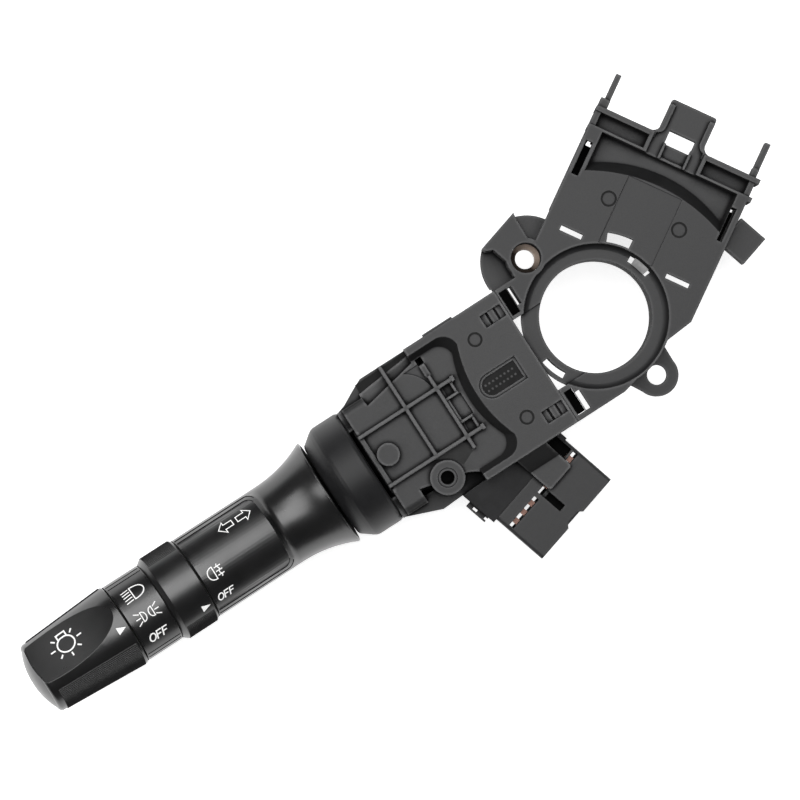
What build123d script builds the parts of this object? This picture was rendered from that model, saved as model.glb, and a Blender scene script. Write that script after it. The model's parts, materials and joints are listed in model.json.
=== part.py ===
from build123d import *
import os
from math import cos, hypot, radians, sin

os.makedirs("parts", exist_ok=True)

# The origin is on the steering column's axis, in the plane that the fixing ears sit on.
# +Z points along the column to the driver, +Y up in the car and +X to the driver's right.
# The lever leaves on the left and the wiper switch's bay on the right, each raised by half_angle.
half_angle = 16.2

# Steering column, hub ring and deck
column_r = 17.0
hub_wall = 2.0
ring_floor_top = 11.0
ring_floor_thickness = 1.8
ring_floor_r = column_r + hub_wall + 1.2
deck_hole_r = ring_floor_r + 1.6
ring_outer_r = deck_hole_r + 0.7
ring_low_step = 0.5
deck_top = 14.0
deck_thickness = 2.0

# Fixing ears
fixing_pitch = 53.4
fixing_middle_y = 0.7
fixing_x = -0.6
fixing_hole_r = 3.0
flange_thickness = 2.5
flange_r = 14.1
lower_ear_r = 6.6
ear_width = 14.3
ear_top_y = 39.2
ear_wall = 1.8
bush_r = 4.5
bush_boss_wall = 1.5
bush_length = 6.0
fit = 0.05

# Bay for the wiper switch, in the frame of the right-hand arm
bay_left = 26.1
bay_right = -26.6
bay_wall = 1.8
bay_depth = 12.0
bay_wall_start = 24.0
rail_inner_x = 50.2
rail_outer_x = 56.2
rail_thickness = 1.6
rail_overhang = 1.1
rail_bottom = 4.0
bay_floor_top = 8.0
bay_floor_thickness = 1.5
latch_x = 69.3
latch_middle_y = -1.0
latch_width = 14.7
latch_top = 11.0
latch_thickness = 2.6
latch_wing = 8.8
mark_depth = 0.15
mark_r = 2.2
panel_half = 8.8
slot_ledge_top = 5.6
slot_ledge = 1.0
latch_window = (4.2, 8.4)
prong_length = 11.4
prong_thickness = 1.7
prong_height = 5.0

# Lever switch case, in the frame of the left-hand arm
case_left = -81.5
case_step = -54.2
case_right = -21.7
case_seam = 0.1
case_top_y = 23.0
case_bottom_y = -23.7
case_end_top = 17.6
case_end_bottom = -19.9
case_wall = 2.0
case_floor_top = 9.0
case_floor_thickness = 1.8
recess_slope = 2.6
rib_thickness = 1.1
rib_top = 12.0
shoulder_r = 2.5
case_end_ledge = 1.7
field_corner = 5.0
field_step = 0.35
snap_middle_y = (16.9, -17.3)
snap_right = -22.5
snap_length = 7.0
snap_width = 4.0
bullet_middle_y = -0.5
bullet_half = 3.9
bullet_left = -37.5
bullet_right = -27.2
base_bottom = -21.2
base_floor = 2.0
base_step_x = -38.0

# Screws between the shells, and the boss for the column cover's screw
screw_places = ((-57.0, 13.0), (-57.0, -15.4), (-33.5, 18.6), (-33.5, -19.2))
screw_boss_r = 2.8
screw_r = 1.25
screw_head_r = 2.6
screw_head = 1.6
screw_top = 5.0
trim_boss = (-63.7, -16.6)
trim_boss_r = 5.3
trim_hole_r = 2.1
trim_boss_top = 13.0
trim_hole_depth = 11.0

# Plans of the two shells, in the frame of the left-hand arm
ribbed_outline = [(case_left, case_end_bottom), (case_left, case_end_top), (-72.6, case_end_top), (-72.3, 14.6),
                  (case_step + 0.1, 18.3), (case_step + 0.1, -20.6), (-57.5, -18.7), (-72.7, -15.1),
                  (-72.7, case_end_bottom)]
base_outline = [(case_left, case_end_bottom), (case_left, case_end_top), (-78.5, 18.5), (-73.6, 21.1), (-70.0, 22.8),
                (case_step, 22.8), (base_step_x, 22.6), (base_step_x, -23.2), (case_step, -23.6), (-69.9, -24.4),
                (-79.8, -20.6)]

# Stalk axis and the point that the lever swings about
stalk_y = -1.1
stalk_z = -2.0
pivot_x = -74.9
turn_angle = 8.0
pull_angle = 6.0
push_angle = 4.0

# The handle rises towards the driver from the middle of the flare's rim
handle_rise = 12.0

# Collar that the lever comes out of
collar_r = 19.2
collar_front_r = 15.6
collar_front_x = case_left - 14.2
collar_shoulder_x = case_left - 9.9
collar_wall = 1.5
collar_mouth_r = 11.5
case_mouth_r = 14.5

# Rocking frame and its pins
yoke_half_x = 5.5
yoke_half_y = 11.5
yoke_half_z = 8.3
yoke_wall_y = 2.8
yoke_wall_z = 2.3
trunnion_r = 2.0
trunnion_length = 4.0
pivot_boss_r = 3.5
pivot_boss_top = 13.0
cross_pin_r = 1.5
running = 0.05
side_play = 0.3

# Lever block and its tail
block_half_z = 4.5
neck_r = 5.0
neck_length = 8.6
tail_r = 3.5
tail_reach = 24.0
plunger_r = 2.0
plunger_reach = 27.0
plunger_length = 11.0
plunger_stroke = 1.0
track_gap = 0.1
notch_depth = 0.3
notch_r = 0.7

# Stalk, from the collar outwards
rim_gap = 0.7
flare_length = 19.6
tube_length = 29.5
fog_length = 12.7
label_length = 12.3
knob_length = 32.2
ring_gap = 0.3
flare_rim_x = collar_front_x - rim_gap
flare_start_x = flare_rim_x - flare_length
tube_start_x = flare_start_x - tube_length
fog_start_x = tube_start_x - fog_length
label_start_x = fog_start_x - label_length
knob_start_x = label_start_x - ring_gap
knob_tip_x = knob_start_x - knob_length
neck_end_x = flare_rim_x - neck_length
core_start_x = neck_end_x - 2.5
core_end_x = label_start_x - 19.5
core_r = 6.0
core_bore_r = 3.2
core_boss_wall = 2.5
tube_end_wall = 2.0
tube_r = 13.5
tube_wall = 2.3
flare_rim_r = 17.9
bell_depth = 3.6
bell_wall = 1.5
pad_rise = 0.6
pad_end_x = flare_start_x - 3.2
pad_margin = 1.9
pad_step = 0.95
pad_corner = 2.4
fog_r = 14.0
fog_chamfer = 1.5
label_r = 12.95
label_pad_rise = 0.4
knob_r = 13.3
knob_tip_r = 11.5
knob_corner = 1.5
knob_dome = 2.2
knob_flat_turn = 26.0
knob_flat_tip = 9.4
knob_flat_middle = 9.75
knob_flat_run = 1.7
knob_hollow_r = 11.0
knob_hollow_depth = 5.2
hub_ring_wall = 2.0

# Connector, in the car's frame
shroud_left = -65.8
shroud_right = -33.7
shroud_mouth_y = -36.4
shroud_back_y = -18.0
shroud_top = 2.0
shroud_height = 13.0
shroud_wall = 1.5
shroud_cavity_y = -24.9
slit_top_y = -22.1
slit_bottom_y = -23.8
key_middle_x = -50.05
key_width = 2.4
key_end_y = -31.0
notch_width = 6.8
notch_depth_y = 1.4
cover_left = -67.0
cover_right = -33.1
cover_rise = 4.0
pin_first_x = -62.2
pin_pitch = 3.57
pin_count = 8
pin_missing = 3
pin_width = 1.8
pin_thickness = 0.8
pin_tip_y = -30.0
pin_root_y = -18.6
pin_rows = (-1.8, -6.6)
tongue_left = -48.4
tongue_right = -38.4
tongue_end_y = -24.5
tongue_top = 4.2
well_right = -34.7
well_front_y = -21.3
well_back_y = -14.6
well_depth = 6.0

# Contacts inside the case
board_top = -15.6
board_thickness = 1.6
track_thickness = 0.2
slider_reach = 10.0
slider_gap = 0.3
gate_reach = 15.4
gate_thickness = 1.5
gate_half_width = 8.6
cancel_stroke = 2.5


def on_stalk_side(shape):
    """Place a shape from the frame of the left-hand arm."""
    return Rot(0, 0, -half_angle) * shape


def on_wiper_side(shape):
    """Place a shape from the frame of the right-hand arm."""
    return Rot(0, 0, half_angle) * shape


def on_stalk_axis(shape):
    """Place a shape whose X axis is the stalk's axis."""
    return on_stalk_side(Pos(0, stalk_y, stalk_z) * shape)


def on_handle(shape):
    """Place a shape whose X axis is the axis of the raised handle."""
    return on_stalk_axis(Pos(flare_rim_x, 0, 0) * Rot(0, handle_rise, 0) * Pos(-flare_rim_x, 0, 0) * shape)


def at_pivot(shape):
    """Place a shape whose origin is the point that the lever swings about."""
    return on_stalk_side(Pos(pivot_x, stalk_y, stalk_z) * shape)


def slab(x0, x1, y0, y1, z0, z1):
    """Box between two corners."""
    return Pos((x0 + x1) / 2, (y0 + y1) / 2, (z0 + z1) / 2) * Box(abs(x1 - x0), abs(y1 - y0), abs(z1 - z0))


def prism(points, z0, z1):
    """Upright prism over an outline."""
    return Pos(0, 0, z0) * extrude(make_face(Polyline(*points, close=True)), z1 - z0)


def post(x, y, r, z0, z1):
    """Upright cylinder."""
    return Pos(x, y, (z0 + z1) / 2) * Cylinder(r, z1 - z0)


def rod(x0, x1, r):
    """Cylinder along X."""
    return Pos((x0 + x1) / 2, 0, 0) * Rot(0, 90, 0) * Cylinder(r, abs(x1 - x0))


def turned(*points):
    """Solid of revolution about X, from an outline of (x, radius) points."""
    return revolve(make_face(Polyline(*points, close=True)), Axis.X)


def ring_sector(r0, r1, start, end, z0, z1):
    """Part of an upright ring between two angles."""
    profile = make_face(Polyline((r0, 0, z0), (r1, 0, z0), (r1, 0, z1), (r0, 0, z1), close=True))
    return Rot(0, 0, start) * revolve(profile, Axis.Z, end - start)


def coil(length, middle_r, wire, turns):
    """Compression spring of square wire along Z, from the origin upwards."""
    path = Helix(length / turns, length, middle_r)
    section = Plane(origin=path @ 0, z_dir=path % 0) * Rectangle(wire, wire)
    return sweep(section, path, is_frenet=True)


def deck_outline_solid(z0, z1):
    """Plan of the bracket's deck: two arms, the ring and the upper ear."""
    wiper_arm = on_wiper_side(prism(
        [(0, bay_left), (rail_inner_x, bay_left), (rail_inner_x, bay_right), (10.4, bay_right), (2.5, -ring_outer_r), (0, -ring_outer_r)],
        z0, z1))
    stalk_arm = on_stalk_side(prism(
        [(case_right + case_seam, case_top_y), (6.5, case_top_y), (0, -ring_outer_r), (-5.0, case_bottom_y), (case_right + case_seam, case_bottom_y)],
        z0, z1))
    return wiper_arm + stalk_arm + post(0, 0, ring_outer_r, z0, z1) + ear_solid(z0, z1, 0)


def ear_solid(z0, z1, inset):
    """Upper ear's platform, drawn in by inset."""
    half = ear_width / 2
    return prism(
        [(-half + inset, ear_top_y - inset), (half - inset, ear_top_y - inset), (half - 1.0 - inset, ear_top_y - 2.2),
         (3.6 - inset, 29.0), (5.5 - inset, 22.0 - inset), (-half + inset, 22.0 - inset), (-half + inset, 26.8),
         (-half + 1.9 + inset, 30.5), (-half + 1.9 + inset, ear_top_y - 2.8), (-half + inset, ear_top_y - 1.3 - inset)],
        z0, z1)


def hub_ring():
    """Tube round the column with its sunk floor and the step up to the deck."""
    floor_bottom = ring_floor_top - ring_floor_thickness
    outline = [
        Line((column_r, 0, 0), (column_r, 0, ring_floor_top)),
        Line((column_r, 0, ring_floor_top), (ring_floor_r, 0, ring_floor_top)),
        ThreePointArc((ring_floor_r, 0, ring_floor_top),
                      ((ring_floor_r + deck_hole_r) / 2 + 0.5, 0, (ring_floor_top + deck_top) / 2 - 0.6),
                      (deck_hole_r, 0, deck_top)),
        Line((deck_hole_r, 0, deck_top), (ring_outer_r, 0, deck_top)),
        Line((ring_outer_r, 0, deck_top), (ring_outer_r, 0, floor_bottom)),
        Line((ring_outer_r, 0, floor_bottom), (column_r + hub_wall, 0, floor_bottom)),
        Line((column_r + hub_wall, 0, floor_bottom), (column_r + hub_wall, 0, 0)),
        Line((column_r + hub_wall, 0, 0), (column_r, 0, 0)),
    ]
    return revolve(make_face(outline), Axis.Z)


def fixing_ears():
    """Flanges, ear platform and boss of the two fixing screws."""
    upper_y = fixing_middle_y + fixing_pitch / 2
    lower_y = fixing_middle_y - fixing_pitch / 2
    flange = post(fixing_x, upper_y - 0.9, flange_r, 0, flange_thickness)
    flange -= slab(-flange_r - 1, flange_r, ear_top_y, ear_top_y + flange_r, -1, flange_thickness + 1)
    ear = ear_solid(flange_thickness, deck_top, 0) - ear_solid(flange_thickness, deck_top - deck_thickness, ear_wall)
    boss = post(fixing_x, upper_y, bush_r + bush_boss_wall, 0, deck_top)
    lower = post(fixing_x, lower_y, lower_ear_r, 0, flange_thickness)
    web = prism([(-9.6, -16.0), (9.4, -16.0), (fixing_x + lower_ear_r - 0.3, lower_y - 1.6),
                 (fixing_x - lower_ear_r + 0.3, lower_y - 1.6)], 0, flange_thickness)
    return flange + ear + boss + lower + web


def bay_recess():
    """Sunk field at the end of the wiper arm: its sloping curved wall and its floor."""
    left, right = bay_left - 4.4, bay_right + 3.3
    end = rail_inner_x + rail_thickness / 2
    middle = (left + right) / 2

    def field(edge_x, crown_x, inset, z):
        wall = ThreePointArc((edge_x, left - inset, z), (crown_x, middle, z), (edge_x, right + inset, z))
        return make_face([wall, Line((edge_x, right + inset, z), (end, right + inset, z)),
                          Line((end, right + inset, z), (end, left - inset, z)),
                          Line((end, left - inset, z), (edge_x, left - inset, z))])

    return loft([field(41.6, 47.3, 0.7, bay_floor_top), field(38.3, 43.3, 0.2, deck_top + 0.01)], ruled=True)


def wiper_bay():
    """Side walls, rails, pockets and prongs of the wiper switch's bay."""
    wall_top = deck_top - 0.5
    wall_bottom = deck_top - deck_thickness - bay_depth
    end = rail_outer_x + rail_thickness
    body = slab(bay_wall_start, end, bay_left - bay_wall, bay_left, wall_bottom, wall_top)
    body += slab(bay_wall_start - 12, end, bay_right, bay_right + bay_wall, wall_bottom, wall_top)
    body += slab(36.5, rail_inner_x + 0.5, bay_right + 1.7, bay_left - 2.8, bay_floor_top - bay_floor_thickness, wall_top)
    body += slab(rail_inner_x, end, bay_right + 0.6, bay_left - 0.6, bay_floor_top, bay_floor_top + bay_floor_thickness)
    for x in (rail_inner_x, rail_outer_x):
        body += slab(x, x + rail_thickness, bay_right - rail_overhang, bay_left + 0.2, rail_bottom, deck_top)
    body -= slab(rail_inner_x + 0.6, end + 1, latch_middle_y - latch_wing, latch_middle_y + latch_wing, latch_top, deck_top + 1)
    body -= slab(rail_inner_x - 1, rail_inner_x + 0.6, latch_middle_y - latch_wing, latch_middle_y + latch_wing,
                 deck_top - 1.2, deck_top + 1)
    for y in (latch_middle_y + latch_wing, latch_middle_y - latch_wing):
        body += slab(rail_inner_x - 2.5, end, y - 0.6, y + 0.6, bay_floor_top, deck_top)
    for y in (latch_middle_y + 3.9, latch_middle_y - 4.3):
        body += slab(rail_inner_x, rail_outer_x, y - 0.4, y + 0.4, bay_floor_top, deck_top - 1.8)
    body += slab(rail_inner_x + 0.5, rail_outer_x, latch_middle_y + 4.3, latch_middle_y + latch_wing, bay_floor_top, latch_top)
    body += slab(rail_inner_x + 0.5, rail_outer_x, latch_middle_y - latch_wing, latch_middle_y - 4.7, bay_floor_top, latch_top)
    for y0, y1 in ((23.3, bay_left - 1.0), (bay_right + 1.0, bay_right + 3.4)):
        body += slab(35.5, 46.4, y0, y1, slot_ledge_top - slot_ledge, slot_ledge_top)
    for side, y_outer, y_inner in ((1, bay_left, bay_left - 3.0), (-1, bay_right + 0.3, bay_right + 2.2)):
        inner = y_outer - side * 1.2 if side > 0 else y_outer
        body += slab(end, end + 3.0, y_outer, y_inner, 5.0, 5.0 + prong_height + 1)
        body += slab(end, end + prong_length, inner, inner - side * prong_thickness, 5.0, 5.0 + prong_height)
    return body


def latch_plan(inset, z0, z1):
    """Plan of the latch tab: wide between the wings, then curved in to the narrow end."""
    half = latch_width / 2 - inset
    wing = latch_wing + 0.6 - inset
    start = rail_outer_x
    foot_x = rail_outer_x + rail_thickness + 0.2
    neck_x = foot_x + 2.6
    bend = ((foot_x + neck_x) / 2 - 0.5, (wing + half) / 2 - 0.4)
    upper = latch_middle_y
    outline = make_face([
        Line((start, upper + wing), (foot_x, upper + wing)),
        ThreePointArc((foot_x, upper + wing), (bend[0], upper + bend[1]), (neck_x, upper + half)),
        Line((neck_x, upper + half), (latch_x, upper + half)),
        Line((latch_x, upper + half), (latch_x, upper - half)),
        Line((latch_x, upper - half), (neck_x, upper - half)),
        ThreePointArc((neck_x, upper - half), (bend[0], upper - bend[1]), (foot_x, upper - wing)),
        Line((foot_x, upper - wing), (start, upper - wing)),
        Line((start, upper - wing), (start, upper + wing)),
    ])
    return Pos(0, 0, z0) * extrude(outline, z1 - z0)


def latch():
    """Latch tab with its raised side walls and the window that the wiper switch snaps into."""
    bottom = latch_top - latch_thickness
    tab = latch_plan(0, bottom, latch_top + 1.2)
    tab = fillet(tab.edges().filter_by(Axis.Z).group_by(Axis.X)[-1], 0.8)
    tab -= latch_plan(1.7, latch_top, deck_top)
    tab -= slab(latch_x - 1.6, latch_x + 1, latch_middle_y - latch_width, latch_middle_y + latch_width, latch_top, deck_top)
    length, width = latch_window
    window_start = rail_outer_x - 0.2
    window = slab(window_start, window_start + length, latch_middle_y - 0.1 - width / 2, latch_middle_y - 0.1 + width / 2,
                  0, deck_top + 1)
    return tab, window


def column_bracket():
    """Moulded bracket that carries both switches on the column."""
    deck = deck_outline_solid(deck_top - deck_thickness, deck_top)
    deck -= post(0, 0, deck_hole_r + 0.3, deck_top - deck_thickness - 1, deck_top + 1)
    tab, window = latch()
    foot = slab(41.7, 51.8, -23.6, -14.0, 0.5, 6.0)
    body = deck + hub_ring() + fixing_ears() + on_wiper_side(wiper_bay() + tab) + foot
    body -= on_wiper_side(bay_recess() + window)
    body -= post(0, 0, column_r, -1, deck_top + 1)
    body -= foot_clearance()
    for y in (fixing_middle_y + fixing_pitch / 2, fixing_middle_y - fixing_pitch / 2):
        r = bush_r + fit if y > 0 else fixing_hole_r
        body -= post(fixing_x, y, r, -1, deck_top + 1)
    body -= on_stalk_side(slab(case_right - 2, -column_r * 0.7, -12.5, 12.5, ring_floor_top - ring_low_step, deck_top + 1))
    body -= on_stalk_side(slab(case_left, case_right + case_seam, case_bottom_y - 1, case_top_y + 1, -1, deck_top + 1))
    body -= deck_slots()
    body -= deck_marks()
    return body


def deck_marks():
    """Faint moulding marks on the deck: a shallow field and two round ejector marks."""
    z0, z1 = deck_top - mark_depth, deck_top + 1
    panel = slab(ring_outer_r - 2.0, 42.5, -panel_half, panel_half, z0, z1)
    return on_wiper_side(panel + post(33.6, 11.4, mark_r, z0, z1) + post(33.9, -11.7, mark_r, z0, z1))


def foot_clearance():
    """Keeps the stop foot outside the bay's side wall."""
    return on_wiper_side(slab(bay_wall_start, rail_inner_x, bay_right + bay_wall, bay_left - bay_wall, -1, 5.8))


def deck_slots():
    """See-through slots in the deck and the ring floor."""
    wiper_slots = slab(18.9, 20.5, 13.8, 20.9, 0, deck_top + 1)
    wiper_slots += slab(19.1, 20.6, -21.5, -13.9, 0, deck_top + 1)
    wiper_slots += slab(35.9, 46.8, bay_left - 3.4, bay_left - bay_wall + 0.6, bay_floor_top - 3, deck_top + 1)
    wiper_slots += slab(35.9, 46.8, bay_right + bay_wall, bay_right + 3.4, bay_floor_top - 3, deck_top + 1)
    wiper_slots += ring_sector(ring_outer_r, 25.4, -1, 17, deck_top - 6, deck_top + 1)
    stalk_slots = slab(-21.0, -18.3, 13.6, 21.7, deck_top - 3, deck_top + 1)
    stalk_slots += slab(-18.0, -16.7, 15.6, 21.5, 0, deck_top + 1)
    stalk_slots += slab(-20.7, -17.9, -22.1, -14.0, deck_top - 3, deck_top + 1)
    stalk_slots += slab(-17.8, -16.3, -22.1, -15.7, 0, deck_top + 1)
    floor_slots = ring_sector(column_r + hub_wall + 0.1, ring_floor_r + 0.9, -10, 11, 8, ring_floor_top + 1)
    floor_slots += ring_sector(column_r + hub_wall + 0.1, ring_floor_r + 0.9, 172, 193, 8, ring_floor_top + 1)
    return on_wiper_side(wiper_slots) + on_stalk_side(stalk_slots) + floor_slots


def mounting_bush():
    """Rolled metal bush that takes the clamping load of the upper fixing screw."""
    y = fixing_middle_y + fixing_pitch / 2
    return post(fixing_x, y, bush_r, 0, bush_length) - post(fixing_x, y, fixing_hole_r, -1, bush_length + 1)


def recess_field(shift, z):
    """Outline of the case's sunk field: straight at the left, bowed at the right."""
    top, bottom = 18.8 + shift * 0.65, -19.8 - shift * 0.6
    right = -42.3 + shift
    bow = -45.4 + shift
    corner = field_corner
    pull = corner * (1 - cos(radians(45)))
    left = case_step - 0.01
    return make_face([
        Line((left, bottom, z), (left, top, z)),
        Line((left, top, z), (right - corner, top, z)),
        ThreePointArc((right - corner, top, z), (right - pull, top - pull, z), (right, top - corner, z)),
        ThreePointArc((right, top - corner, z), (bow, (top + bottom) / 2, z), (right, bottom + corner, z)),
        ThreePointArc((right, bottom + corner, z), (right - pull, bottom + pull, z), (right - corner, bottom, z)),
        Line((right - corner, bottom, z), (left, bottom, z)),
    ])


def case_shell():
    """Outer form of the upper shell, before ribs and bosses."""
    plate = slab(case_step, case_right, case_bottom_y, case_top_y, 0, deck_top)
    plate -= loft([recess_field(0, case_floor_top), recess_field(recess_slope, deck_top + 0.01)], ruled=True)
    ribbed = prism(ribbed_outline, 0, case_floor_top)
    shoulders = [edge for edge in ribbed.edges().filter_by(Axis.X) if edge.center().Z > case_floor_top - 1
                 and edge.center().X < -72]
    ribbed = fillet(shoulders, shoulder_r)
    ledge = slab(case_left - 1, case_left + case_end_ledge, case_end_bottom - 1, case_end_top + 1, case_floor_top - 2.5, case_floor_top + 1)
    flange = prism([(-72.8, 10.0), (-72.8, 19.0), (case_step + 0.1, 21.0), (case_step + 0.1, 10.0)], 0, 1.0)
    return plate + (ribbed - ledge) + flange


def case_cavity():
    """Room inside the upper shell for the moving parts."""
    ceiling = case_floor_top - case_floor_thickness
    room = slab(case_left + case_wall, case_step, case_end_bottom + case_wall, 12.6, -1, ceiling)
    room += slab(case_step - 0.01, -38.5, case_bottom_y + case_wall + 1.5, case_top_y - case_wall - 2.5, -1, ceiling)
    room += slab(-38.51, case_right - case_wall, case_bottom_y + case_wall, case_top_y - case_wall, -1, deck_top - deck_thickness)
    yoke_sweep = hypot(yoke_half_x, yoke_half_y) + side_play
    room -= slab(-73.7, -66.5, -30, stalk_y - yoke_sweep, -1, ceiling)
    mouth = Pos(0, stalk_y, stalk_z) * rod(case_left - 1, case_left + case_wall + 0.5, case_mouth_r)
    return room + mouth


def field_round():
    """Round patch of the ribbed field that stays higher than the corner beside it."""
    return post(-63.2, 8.0, 10.2, case_floor_top - 2, case_floor_top + 2)


def case_ribs():
    """Stiffening ribs, crossbars and small pockets on the ribbed field."""
    half = rib_thickness / 2
    rib_a, rib_b = 7.75, -9.4
    rib_end = -46.4
    bottom = case_floor_top - 0.5
    ribs = slab(case_left + 1.5, rib_end, rib_a - half, rib_a + half, bottom, rib_top)
    ribs += slab(case_left + 1.5, rib_end, rib_b - half, rib_b + half, bottom, rib_top)
    ribs += slab(-63.0 - half, -63.0 + half, rib_b, case_top_y - 0.3, bottom, rib_top)
    ribs += slab(-63.0 - half, -63.0 + half, 15.0, case_top_y - 0.3, 0, rib_top)
    ribs += slab(-52.0 - half, -52.0 + half, -13.6, 12.3, bottom, rib_top)
    for y in (rib_a, rib_b):
        ribs += slab(rib_end - half, rib_end + half, y - 0.9, y + 0.9, bottom, rib_top)
    for y, outer in ((3.3, rib_a), (-4.8, rib_b)):
        ribs += slab(-52.0, -47.1, y - 0.4, y + 0.4, bottom, rib_top - 0.8)
        ribs += slab(-47.9, -47.1, min(y, outer), max(y, outer), bottom, rib_top - 1.5)
    ribs += slab(-51.3, -50.6, -4.8, 3.3, bottom, rib_top - 1.2)
    ribs += slab(-52.9, -51.1, 12.0, 16.2, bottom, rib_top - 1.4)
    ribs += slab(case_left + 1.5, case_left + 2.9, rib_b, rib_a, bottom, rib_top - 1.2)
    return ribs


def switch_case():
    """Upper shell of the lever switch."""
    ceiling = case_floor_top - case_floor_thickness
    body = case_shell() - case_cavity()
    body -= slab(-50.6, -47.9, 3.7, 7.2, case_floor_top - 0.8, case_floor_top + 1)
    body -= slab(-50.6, -46.6, -4.4, 2.9, case_floor_top - 0.8, case_floor_top + 1)
    body -= slab(-50.6, -47.9, -8.9, -5.2, case_floor_top - 0.8, case_floor_top + 1)
    body += case_ribs()
    body += post(pivot_x, stalk_y, pivot_boss_r, ceiling, pivot_boss_top)
    body += post(*trim_boss, trim_boss_r, 0, trim_boss_top)
    for x, y in screw_places:
        body += post(x, y, screw_boss_r, 0, ceiling + 1 if x < -40 else deck_top - 1)
        body -= post(x, y, screw_r + fit, -1, screw_top + 1)
    body -= post(pivot_x, stalk_y, trunnion_r + running, 0, stalk_z + yoke_half_z + trunnion_length + 0.3)
    body -= post(*trim_boss, trim_hole_r, trim_boss_top - trim_hole_depth, trim_boss_top + 1)
    body -= post(*trim_boss, trim_hole_r + 0.9, trim_boss_top - 0.4, trim_boss_top + 1)
    body -= slab(-53.0, -50.9, 16.4, 18.5, ceiling - 1, case_floor_top + 1)
    body -= snap_pockets()
    body -= slab(-58.2, -52.4, 8.2, 16.9, case_floor_top - field_step, case_floor_top + 0.2) - field_round()
    nose = slab(case_right - case_wall - 1, case_right + 1, stalk_y - 2.3, stalk_y + 2.3, 0.6, 4.7)
    body -= nose
    body += slab(-47.1, -36.7, case_top_y - 0.5, case_top_y + 0.6, deck_top - 4, deck_top - 0.4)
    for y0, y1 in ((13.0, 22.2), (-22.6, -13.4)):
        body += slab(case_right - case_wall - 0.5, case_right + 3.4, y0 + 0.4, y1 - 0.4, 3.0, 4.6)
    placed = on_stalk_side(body) + lock_tongue()
    return placed


def snap_pockets():
    """Snap windows, the bullet-shaped sunk field and two ejector marks on the deck plate."""
    cuts = Part()
    for y in snap_middle_y:
        middle = snap_right - snap_length / 2
        low, high = y - snap_width / 2, y + snap_width / 2
        cuts += slab(snap_right - snap_length, middle - 1.0, low, high, deck_top - 0.8, deck_top + 1)
        cuts += slab(middle + 1.0, snap_right, low, high, deck_top - 0.8, deck_top + 1)
        cuts += slab(middle - 1.7, middle - 1.0, low, high, deck_top - 1.6, deck_top)
        cuts += slab(middle + 1.0, middle + 1.7, low, high, deck_top - 1.6, deck_top)
        cuts += slab(middle - 1.1, middle + 1.1, low, high, deck_top - 0.3, deck_top + 1)
    for inset, depth in ((0, 0.5), (0.9, 1.1)):
        half = bullet_half - inset
        cuts += slab(bullet_left, bullet_right - inset, bullet_middle_y - half, bullet_middle_y + half, deck_top - depth, deck_top + 1)
        cuts += post(bullet_left, bullet_middle_y, half, deck_top - depth, deck_top + 1)
    cuts += post(-34.4, 13.8, mark_r - 0.2, deck_top - mark_depth, deck_top + 1)
    cuts += post(-33.9, -14.2, mark_r - 0.2, deck_top - mark_depth, deck_top + 1)
    return cuts


def lock_tongue():
    """Tongue that reaches over the connector: a ramp from the plate's edge and a flat end."""
    edge_left = (-48.4, -9.0)
    edge_right = (-38.4, -11.5)
    underside = shroud_top
    flat = slab(tongue_left, tongue_right, tongue_end_y, -12.5, underside, tongue_top)
    flat = fillet(flat.edges().filter_by(Axis.Z).group_by(Axis.Y)[0], 1.0)
    plan = prism([(tongue_left, -17.0), (tongue_right, -19.6), (tongue_right, edge_right[1]), (tongue_left, edge_left[1])],
                 underside, deck_top - 1.0)
    ramp = plan - ramp_cutter()
    tongue = flat + ramp
    return tongue - on_stalk_side(slab(case_step, case_right, case_bottom_y + 0.01, 0, -30, deck_top + 1))


def ramp_cutter():
    """Space above the tongue's ramp, which falls away from the plate's edge."""
    top = deck_top - 1.6
    foot_y = case_bottom_y - 5.6
    side = make_face(Polyline((0, case_bottom_y, top), (0, case_bottom_y, 40), (0, -60, 40), (0, -60, tongue_top),
                              (0, foot_y, tongue_top), close=True))
    return on_stalk_side(Pos(-60, 0, 0) * extrude(side, 60, dir=(1, 0, 0)))


def switch_base():
    """Lower shell: deep under the lever mechanism, shallow next to the column."""
    deep = prism(base_outline, base_bottom, 0)
    deep = fillet(deep.edges().filter_by(Plane.XY).group_by(Axis.Z)[0], 1.2)
    inside_left = case_left + case_wall
    inside_right = base_step_x - case_wall
    deep -= slab(inside_left, inside_right, case_end_bottom + case_wall, case_end_top - case_wall, base_bottom + base_floor, 1)
    deep -= slab(case_step + case_wall, inside_right, -21.0, 20.4, base_bottom + base_floor, 1)
    shallow = slab(base_step_x - 1, case_right - 0.2, -23.0, 22.4, -2.0, 0)
    body = deep + shallow
    floor_z = base_bottom + base_floor
    body += post(pivot_x, stalk_y, 5.0, floor_z - 0.5, stalk_z - yoke_half_z - slider_gap)
    body -= post(pivot_x, stalk_y, trunnion_r + running, stalk_z - yoke_half_z - trunnion_length - 0.3, 0)
    for x, y in screw_places[:2]:
        body += post(x, y, screw_boss_r + 1.2, floor_z - 0.5, 0)
        body -= post(x, y, screw_head_r + 0.2, base_bottom - 1, base_bottom + 6)
    for x, y in screw_places:
        body -= post(x, y, screw_r + 0.15, base_bottom - 1, 1)
    for x in (-67.5, -52.0):
        for y in (-9.6, 7.4):
            body += post(x, y, 1.8, floor_z - 0.5, board_top - board_thickness)
    stop_x = base_step_x - case_wall
    body += slab(stop_x, stop_x + 1.5, stalk_y - 4.0, stalk_y + 4.0, -1, 6.0)
    for side in (-1, 1):
        body += slab(-35.0, -26.0, stalk_y + side * 4.2, stalk_y + side * 5.4, -1, 5.0)
    mouth = Pos(0, stalk_y, stalk_z) * rod(case_left - 1, case_left + case_wall + 0.5, case_mouth_r)
    return on_stalk_side(body - mouth)


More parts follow.
